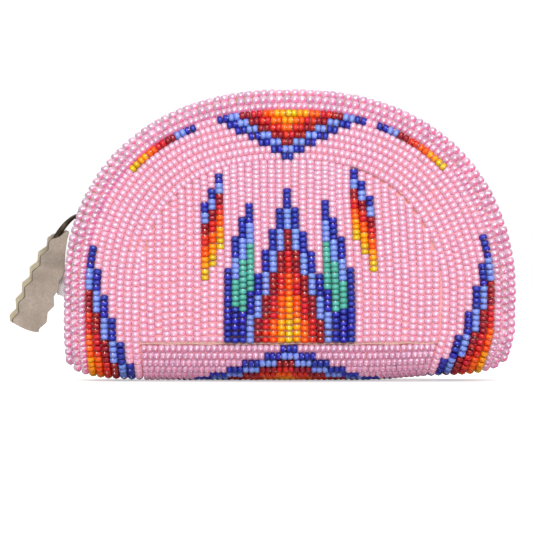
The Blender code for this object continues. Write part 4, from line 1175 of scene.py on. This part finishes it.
def edge_stitches():
    """The whip stitches that hold the edge beads: each comes out of the hide and goes over its edge."""
    chance = np.random.default_rng(11)
    paths = []
    for side in (AHEAD, BEHIND):
        low = settled(loop_curve(STITCH_LOW, side, 0.0002))
        middle = settled(loop_curve(STITCH_HIGH, side, 0.0011))
        edge = settled(edge_curve(side))
        reach = measured(np.linalg.norm(np.diff(edge, axis=0), axis=1))
        count = int(reach[-1] / EDGE_STEP)
        for place in (np.arange(count) + 0.5) * reach[-1] / count:
            spots = []
            for curve, shift in zip((low, middle, edge), STITCH_SHIFTS):
                there = place + shift + chance.uniform(-STITCH_STRAY, STITCH_STRAY)
                spots.append(sampled(there, reach, curve))
            paths.append([spots[0], (spots[0] + spots[1]) / 2, spots[1], (spots[1] + spots[2]) / 2, spots[2]])
    return paths


def seam_threads():
    """The couching threads that show where the panels' columns meet the border and the bottom rows."""
    paths = []
    for side in (AHEAD, BEHIND):
        x = np.linspace(-PANEL_HALF, PANEL_HALF, 90)
        z = PANEL_FOOT - 0.0002 + 0.00012 * np.sin(x / 0.0016)
        for rise, lift in SEAM_THREADS:
            paths.append(settled(face_point(x, z + rise, side, lift)))
        x = np.linspace(-PANEL_HALF + 0.0004, PANEL_HALF - 0.0004, 160)
        paths.append(settled(face_point(x, arch_height(x, PANEL_INSET) + 0.0002, side, 0.0007)))
    return paths


THREAD_TREE = thread_tree()
THREADS = {
    "edge_stitches": (edge_stitches(), {"Thickness": EDGE_THREAD_SIZE, "Material": EDGE_THREAD}),
    "seam_threads": (seam_threads(), {"Thickness": SEAM_THREAD_SIZE, "Material": THREAD}),
}
for name, (paths, values) in THREADS.items():
    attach(grown(name, path_mesh(name + "_paths", paths), THREAD_TREE, values), "purse")


# Hide


def hide_rings():
    """The folded hide from end to end: up its front, and back inside, as closed rings."""
    rings = []
    for place in np.linspace(-0.5, 0.5, HIDE_RINGS):
        x = (HALF_LENGTH - HIDE_INSET) * math.sin(math.pi * place)
        edge = float(arch_height(x, HIDE_INSET))
        walls = {}
        for side in (AHEAD, BEHIND):
            bend = np.linspace(0.0004, travel_at(FLOOR + BEND_RISE[side], side), BEND_POINTS)
            face = np.linspace(bend[-1], travel_at(edge, side), FACE_POINTS)
            walls[side] = np.concatenate([bend, face[1:]])[::side]
        outer = np.concatenate([section(x, travels, side, 0.0) for side, travels in walls.items()])
        inner = np.concatenate([section(x, travels, side, -HIDE) for side, travels in walls.items()])
        rings.append(settled(np.concatenate([outer, inner[::-1]])))
    return rings


hide_sections = hide_rings()
hide_mesh = smoothed(ring_mesh("folded_hide", hide_sections, strips=True), 60)
hide = add_piece("folded_hide", hide_mesh, HIDE_LEATHER, BARE_LEATHER)
ring_points = len(hide_sections[0])
wall_faces = ring_points * (HIDE_RINGS - 1)
for face in hide_mesh.polygons:
    is_outer = face.index < wall_faces and face.index % ring_points < ring_points // 2 - 1
    face.material_index = 0 if is_outer else 1
carried(hide, "purse", "hide", "hide_shell")


# Zip


def on_circle(angle, y, radius):
    return Vector((radius * math.cos(angle), y, ZIP_CENTRE + radius * math.sin(angle)))


def tape_stations():
    """Places of the tape's middle, outward directions and whether it is a tail: down, round and down."""
    start = on_circle(TAPE_START_ANGLE, 0.0, ZIP_RADIUS)
    tail = []
    for i in range(TAIL_STATIONS, 0, -1):
        z = start.z + (TAIL_FOOT - start.z) * i / TAIL_STATIONS
        x = start.x + (HALF_LENGTH - TAIL_INSET - start.x) * float(smooth((start.z - z) / TAIL_RUN))
        tail.append((Vector((x, 0.0, z)), Vector((1.0, 0.0, 0.0)), True))
    arch = []
    for i in range(ARCH_STATIONS + 1):
        angle = TAPE_START_ANGLE + (TAPE_END_ANGLE - TAPE_START_ANGLE) * i / ARCH_STATIONS
        outward = Vector((math.cos(angle), 0.0, math.sin(angle)))
        arch.append((on_circle(angle, 0.0, ZIP_RADIUS), outward, False))
    other = [(Vector((-p.x, p.y, p.z)), Vector((-1.0, 0.0, 0.0)), True) for p, _, _ in reversed(tail)]
    return tail + arch + other


def map_cloth(mesh, place_of):
    """The cloth's UV map in metres, from each vertex's place along and across the tape."""
    cloth = mesh.uv_layers.new(name="cloth")
    for corner in mesh.loops:
        cloth.data[corner.index].uv = place_of(mesh.vertices[corner.vertex_index])
    return mesh


def tape_mesh(name, side):
    rings = []
    lengths = []
    reach = 0.0
    last = None
    for place, outward, is_tail in tape_stations():
        inner_y = LAYER_GAP / 2 if is_tail else TAPE_INNER
        outer_y = float(rim_gap(place.z)) - 2 * FIT
        columns = np.linspace(inner_y, outer_y, 6)
        ring = []
        for offset, ys in ((-1, columns), (1, columns[::-1])):
            for y in ys:
                ripple = RIPPLE * math.sin(reach / RIPPLE_RUN) * (y - inner_y) / (outer_y - inner_y)
                point = place + outward * (offset * TAPE / 2 + ripple)
                ring.append((point.x, side * y, point.z))
        rings.append(settled(np.array(ring)))
        reach += (place - last).length if last else 0.0
        lengths.append(reach)
        last = place
    mesh = smoothed(ring_mesh(name, rings, strips=True), 60)
    return map_cloth(mesh, lambda vertex: (lengths[vertex.index // len(rings[0])], abs(vertex.co.y)))


def tape_end_mesh():
    """The end of the back tape, which sticks out past the edge beads at the left."""
    count = len(TAPE_END)
    points = []
    for half in (TAPE / 2, -TAPE / 2):
        points += [(x, TAPE_END_DEPTH + 0.0001 * math.sin(900 * z) + half, z) for x, z in TAPE_END]
    faces = [tuple(range(count)), tuple(range(2 * count - 1, count - 1, -1))]
    faces += [(i, count + i, count + (i + 1) % count, (i + 1) % count) for i in range(count)]
    return map_cloth(solid_mesh("tape_end", points, faces), lambda vertex: (vertex.co.z, vertex.co.x))


for word, side in SIDES.items():
    tape = tape_mesh(f"tape_run_{word}", side)
    if side == BEHIND:
        tape = joined("tape_with_end", [tape, tape_end_mesh()])
    carried(add_piece(f"woven_tape_{word}", tape, TAPE_CLOTH), "purse", "tape", f"zip_tape_{word}")


def tooth_places(side, first, last):
    """Points and turns for a row of teeth: the two rows stand half a step apart."""
    count = int((last - first) * ZIP_RADIUS / TOOTH_STEP)
    placed = []
    for i in range(count):
        angle = first + (last - first) * (i + (0.3 if side == AHEAD else 0.8)) / count
        point = on_circle(angle, side * TOOTH_MIDDLE, ZIP_RADIUS)
        along = Vector((-math.sin(angle), 0.0, math.cos(angle)))
        placed.append((point, along, Vector((0.0, -side, 0.0)), 1.0, 1.0))
    return placed


TOOTH_TREE = tooth_tree()
for word, side in SIDES.items():
    points = point_mesh(f"tooth_places_{word}", tooth_places(side, TEETH_START, TEETH_END))
    row = grown(f"metal_teeth_{word}", points, TOOTH_TREE, {"Size": TOOTH_SIZE, "Material": ZIP_METAL})
    carried(row, "purse", "gunmetal", f"zip_teeth_{word}")


def stop_mesh(name, start, end, y_low, y_high):
    """A metal clip pressed round the tape: a soft block with a waist along its length."""
    rings = []
    for place in np.linspace(-1, 1, 9):
        angle = (start + end) / 2 + (end - start) / 2 * place
        height = TEETH_HEIGHT / 2 * (1 - 0.12 * abs(place) ** 3)
        corners = [(y_low, -height), (y_high, -height), (y_high, height), (y_low, height)]
        rings.append([on_circle(angle, y, ZIP_RADIUS + h) for y, h in corners])
    return softened(ring_mesh(name, rings), 0.0003, 3)


bottom = TEETH_START - 1.4 * STOP_ANGLE, TEETH_START - 0.3 * STOP_ANGLE
top = TEETH_END + 0.6 * STOP_ANGLE, TEETH_END + 1.6 * STOP_ANGLE
STOPS = {
    "bottom_stop": (*bottom, -TEETH_HALF_WIDTH, TEETH_HALF_WIDTH),
    "top_stop_front": (*top, -TEETH_HALF_WIDTH, -STOP_GAP),
    "top_stop_back": (*top, STOP_GAP, TEETH_HALF_WIDTH),
}
for node_name, reach in STOPS.items():
    stop = add_piece(f"pressed_{node_name}", stop_mesh(node_name, *reach), ZIP_METAL)
    carried(stop, "purse", "gunmetal", node_name)


def slider_half_width(place):
    """Half-width of the slider along its length, from -1 at its tail to 1 at its two mouths."""
    nose = 1 - 0.30 * clamp((abs(place) - 0.72) / 0.28) ** 2
    return SLIDER_WIDTH / 2 * float(nose) * (0.93 + 0.07 * place)


def slider_plate(name, up):
    rings = []
    for place in np.linspace(-1, 1, 25):
        angle = CLOSED_ANGLE + SLIDER_HALF_ANGLE * place
        half = slider_half_width(place)
        lip = half - PULL_RAIL / 2
        lip_low = TAPE / 2 + FIT
        shoulder = PLATE_TOP - 0.0002
        crown = PLATE_TOP + 0.00012 * (1 - place**2) - 0.00002
        outline = [(-half, lip_low), (-lip, lip_low), (-lip, PLATE_LOW)]
        outline += [(lip, PLATE_LOW), (lip, lip_low), (half, lip_low)]
        outline += [(half, shoulder), (half * 0.55, crown), (-half * 0.55, crown), (-half, shoulder)]
        rings.append([on_circle(angle, y, ZIP_RADIUS + up * h) for y, h in outline])
    return softened(ring_mesh(name, rings), 0.00012)


def bridge_mesh():
    """The arched bar on the slider that carries the pull."""
    rings = []
    for i in range(33):
        turn = math.pi * i / 32
        across = -math.cos(turn)
        reach = squarish(across, 0.7) * (BRIDGE_SPAN - BRIDGE_BAR) / 2
        rise = math.sin(turn) ** 0.5 * (PIN + 2 * FIT + BRIDGE_BAR / 2 + 0.0002) - 0.0002
        slope = math.atan2(math.sin(turn), -across * 0.9)
        width = BRIDGE_WIDTH / 2 * (1 - 0.18 * math.sin(turn))
        ring = []
        for j in range(12):
            a = math.tau * j / 12
            thick = BRIDGE_BAR / 2 * squarish(math.sin(a), 0.6)
            x = reach - thick * math.cos(math.pi - slope)
            z = ZIP_RADIUS + PLATE_TOP + rise + thick * math.sin(slope)
            ring.append((x, width * squarish(math.cos(a), 0.6), z))
        rings.append(ring)
    mesh = ring_mesh("bridge", rings)
    turn = Matrix.Rotation(math.pi / 2 - CLOSED_ANGLE, 4, "Y")
    mesh.transform(Matrix.Translation((0, 0, ZIP_CENTRE)) @ turn)
    return mesh


slider_parts = [slider_plate("upper_plate", 1), slider_plate("lower_plate", -1), bridge_mesh()]
slider = add_piece("zip_slider", smoothed(joined("zip_slider", slider_parts), 50), ANTIQUE_METAL)
carried(slider, "slider", "gunmetal", "slider")


# Pull and suede strip

HEADING = CLOSED_ANGLE + PULL_LEAN
PIN_PLACE = on_circle(CLOSED_ANGLE, 0.0, ZIP_RADIUS + PIN_HEIGHT)
PULL_DOWN = Vector((math.cos(HEADING), 0.0, math.sin(HEADING)))
PULL_OUT = Vector((math.sin(HEADING), 0.0, -math.cos(HEADING)))
BAR_PLACE = PIN_PLACE + PULL_DOWN * PULL_LENGTH
STRIP_TURN = HEADING + STRIP_LEAN + math.pi / 2
STRIP_FRAME = Matrix.Translation(BAR_PLACE) @ Matrix.Rotation(-STRIP_TURN, 4, "Y")
CLEAR_RADIUS = ZIP_RADIUS + TEETH_HEIGHT / 2 + FIT


def pull_path(half):
    """The pull's outline, as distances down from its pin and across: a rounded rectangle."""
    corner = PULL_CORNER
    inner = half - corner
    path = [(0.0, -inner + 2 * inner * i / 8) for i in range(9)]
    turns = [math.pi / 2 * i / 8 for i in range(1, 8)]
    path += [(corner - corner * math.cos(a), inner + corner * math.sin(a)) for a in turns]
    path += [(corner + (PULL_LENGTH - 2 * corner) * i / 24, half) for i in range(25)]
    path += [(PULL_LENGTH - corner + corner * math.sin(a), inner + corner * math.cos(a)) for a in turns]
    return path + [(x, -y) for x, y in path[9:][::-1] if y > 0]


def pull_mesh():
    """A flat ring of metal, bowed outward: pin, two rails and a lower bar."""
    half = (BRIDGE_WIDTH + 2 * FIT + PULL_RAIL) / 2
    path = pull_path(half)
    rings = []
    for i, (down, y) in enumerate(path):
        before, after = path[i - 1], path[(i + 1) % len(path)]
        way = Vector((after[0] - before[0], after[1] - before[1])).normalized()
        share = down / PULL_LENGTH
        bow = PULL_BOW * math.sin(math.pi * share**0.75) ** 0.7 if 0 < share < 1 else 0.0
        flare = 1.3 * share * clamp((abs(y) - half + PULL_CORNER) / PULL_CORNER)
        thick = PULL_THICKNESS / 2 * (0.8 + flare)
        centre = PIN_PLACE + PULL_DOWN * down + PULL_OUT * bow + Vector((0.0, y, 0.0))
        across = PULL_DOWN * way.y - Vector((0.0, way.x, 0.0))
        ring = []
        for j in range(10):
            a = math.tau * j / 10
            wide = PULL_RAIL / 2 * squarish(math.cos(a), 0.7)
            ring.append(centre + across * wide + PULL_OUT * (thick * squarish(math.sin(a), 0.7)))
        rings.append(ring)
    return ring_mesh("bowed_pull", rings, closed=True)


def pinked(z, depth, start):
    """A long edge's in-and-out at a height: a zigzag with worn corners, as pinking shears leave it."""
    slope = np.arccos(PINK_SHARPNESS * np.cos(math.tau * (z - start) / PINK_PITCH))
    least = math.acos(PINK_SHARPNESS)
    return depth * (slope - least) / (math.pi - 2 * least)


def from_zip(x, z):
    """How far a point of the hanging strip lies from the middle of the zip's circle."""
    return math.hypot(*(STRIP_FRAME @ Vector((x, 0, z)) - Vector((0, 0, ZIP_CENTRE))).xz)


def layer_mesh(name, side, shift, teeth_start):
    """One layer of suede: a soft sheet with pinked edges, which parts from the other round the pull's end."""
    rows, columns = 120, 14
    inside, outside = [], []
    for i in range(rows + 1):
        share = i / rows
        for j in range(columns + 1):
            across = j / columns
            top = float(np.interp(across, TOP_PLACES, STRIP_TOPS[side]))
            foot = -STRIP_LENGTH - 0.0003 * math.sin(math.pi * across) + 0.0004 * across**6
            z = top + (foot - top) * share
            depth = RIGHT_DEPTH * float(smooth((RIGHT_TEETH_TOP - z) / RIGHT_TEETH_RUN))
            low = float(np.interp(z, STRIP_HEIGHTS, LEFT_EDGE)) + shift + pinked(z, PINK_DEPTH, teeth_start)
            high = float(np.interp(z, STRIP_HEIGHTS, RIGHT_EDGE)) + 0.4 * shift
            x = low + (high - pinked(z, depth, RIGHT_TEETH_START) - low) * across
            while from_zip(x, z) < CLEAR_RADIUS:
                x -= FIT / 3
            parted = BULGE * (1 - float(smooth((math.hypot(x, min(z, 0.0)) - BULGE_REACH) / BULGE_RUN)))
            fullness = FULLNESS * math.sin(math.pi * across) * math.sin(math.pi * min(1.0, share + 0.05))
            fullness += UNEVENNESS * math.sin(share * 19 + across * 4)
            inner = side * LAYER_GAP / 2 + side * parted
            inside.append((x, inner, z))
            slope = CUT_SLOPE if side == AHEAD and j == 0 else 0.0
            outside.append((x + slope, inner + side * (SUEDE + fullness), z))
    total = len(inside)
    faces = []
    for i in range(rows):
        for j in range(columns):
            a = i * (columns + 1) + j
            b = a + columns + 1
            faces.append((a, a + 1, b + 1, b))
            faces.append((total + a, total + b, total + b + 1, total + a + 1))
    rim = list(range(columns)) + [(i + 1) * (columns + 1) - 1 for i in range(rows)]
    rim += [total - 1 - j for j in range(columns)] + [(rows - i) * (columns + 1) for i in range(rows)]
    faces += [(a, total + a, total + b, b) for a, b in zip(rim, rim[1:] + rim[:1])]
    mesh = solid_mesh(name, inside + outside, faces)
    mesh.transform(STRIP_FRAME)
    for face in mesh.polygons:
        if face.index >= 2 * rows * columns:
            # The front layer's rim takes the painted shadow material, the back layer's the pale cut edge.
            face.material_index = 2 if side == AHEAD else 1
        else:
            face.material_index = int(side == BEHIND and face.index % 2 == 0)
    return mesh


def fold_mesh():
    """The suede's turn over the pull's lower bar."""
    rings = []
    for i in range(24):
        a = math.tau * i / 24
        way = Vector((math.cos(a), 0.0, math.sin(a)))
        half = PIN + FOLD_SPREAD * float(smooth(-math.sin(a) * 1.6 - 0.3))
        outer = FOLD_HOLE + SUEDE
        corners = ((-half, FOLD_HOLE), (half, FOLD_HOLE), (half, outer), (-half, outer))
        rings.append([way * r + Vector((0.0, y, 0.0)) for y, r in corners])
    mesh = ring_mesh("suede_fold", rings, closed=True)
    mesh.transform(STRIP_FRAME)
    return softened(mesh, 0.00015)


carried(add_piece("bowed_pull", pull_mesh(), ANTIQUE_METAL), "pull_tab", "gunmetal", "pull_tab")
front_layer = layer_mesh("front_layer", AHEAD, 0.0, LEFT_TEETH_START)
back_layer = layer_mesh("back_layer", BEHIND, -LAYER_SHIFT, 0.0)
strip_mesh = smoothed(joined("folded_suede_strip", [front_layer, back_layer, fold_mesh()]), 50)
strip = add_piece("folded_suede_strip", strip_mesh, SUEDE_LEATHER, CUT_SUEDE, PAINTED_SHADOW_EDGE)
carried(strip, "suede_strip", "suede", "suede_strip")


# Floor, light and camera


def add_floor():
    size = FLOOR_SIZE
    mesh = bpy.data.meshes.new("floor")
    corners = [(-size, -size, 0), (size, -size, 0), (size, size, 0), (-size, size, 0)]
    mesh.from_pydata(corners, [], [(0, 1, 2, 3)])
    material, tree = new_material("white_floor")
    seen = tree.add("ShaderNodeLightPath")["Is Camera Ray"]
    # The floor glows white to the camera and less near the purse: painted shade round the purse, on top of
    # its real shadow.
    away = tree.vector("LENGTH", tree.vector("DIVIDE", tree.place(), PAINTED_SHADOW_REACH))
    painted_glow = tree.maths("MULTIPLY", seen, tree.span(away, 0.8, 1.4, 0.36, 0.90, "SMOOTHSTEP"))
    tree.fill(tree.shader, {"Base Color": FLOOR_GREY, "Roughness": 0.9})
    tree.fill(tree.shader, {"Emission Color": WHITE, "Emission Strength": painted_glow})
    floor = add_piece("floor", mesh, material)
    floor.location.z = -FLOOR_GAP


def add_world():
    """White to the camera and through glass, and a plain level of light on the purse."""
    world = bpy.data.worlds.new("studio")
    bpy.context.scene.world = world
    world.use_nodes = True
    tree = Tree(world.node_tree)
    tree.tree.nodes.clear()
    rays = tree.add("ShaderNodeLightPath")
    seen = tree.maths("MAXIMUM", rays["Is Camera Ray"], rays["Is Transmission Ray"])
    way = tree.axes(tree.add("ShaderNodeTexCoord")["Generated"])
    level = tree.span(way["Z"], -0.2, 0.7, LOW_LIGHT, HIGH_LIGHT)
    strength = tree.add("ShaderNodeMix", {0: seen, 2: level, 3: 1.0})[0]
    background = tree.add("ShaderNodeBackground", {0: WHITE, "Strength": strength})[0]
    tree.add("ShaderNodeOutputWorld", {0: background})


def add_lamp(name, place, width, height, power):
    lamp = bpy.data.lights.new(name, "AREA")
    lamp.shape = "RECTANGLE"
    lamp.size = width
    lamp.size_y = height
    lamp.energy = power
    holder = bpy.data.objects.new(name, lamp)
    holder.location = place
    holder.rotation_euler = (Vector(LAMP_AIM) - Vector(place)).to_track_quat("-Z", "Y").to_euler()
    bpy.context.scene.collection.objects.link(holder)


def add_camera():
    camera = bpy.data.cameras.new("camera")
    camera.sensor_width = 36.0
    camera.lens = camera.sensor_width * (VIEW_DISTANCE - FRONT_FACE) / VIEW_WIDTH
    holder = bpy.data.objects.new("camera", camera)
    holder.location = Vector(VIEW_CENTRE) + Vector((0.0, -VIEW_DISTANCE, 0.0))
    holder.rotation_euler = (math.pi / 2, 0.0, 0.0)
    bpy.context.scene.collection.objects.link(holder)
    bpy.context.scene.camera = holder


add_floor()
add_world()
add_lamp("high_softbox", (0.05, -0.64, 0.45), 0.70, 0.26, 5.6)
add_lamp("back_softbox", (-0.10, 0.64, 0.45), 0.70, 0.26, 3.0)
add_camera()
bpy.context.scene.view_settings.view_transform = "Standard"
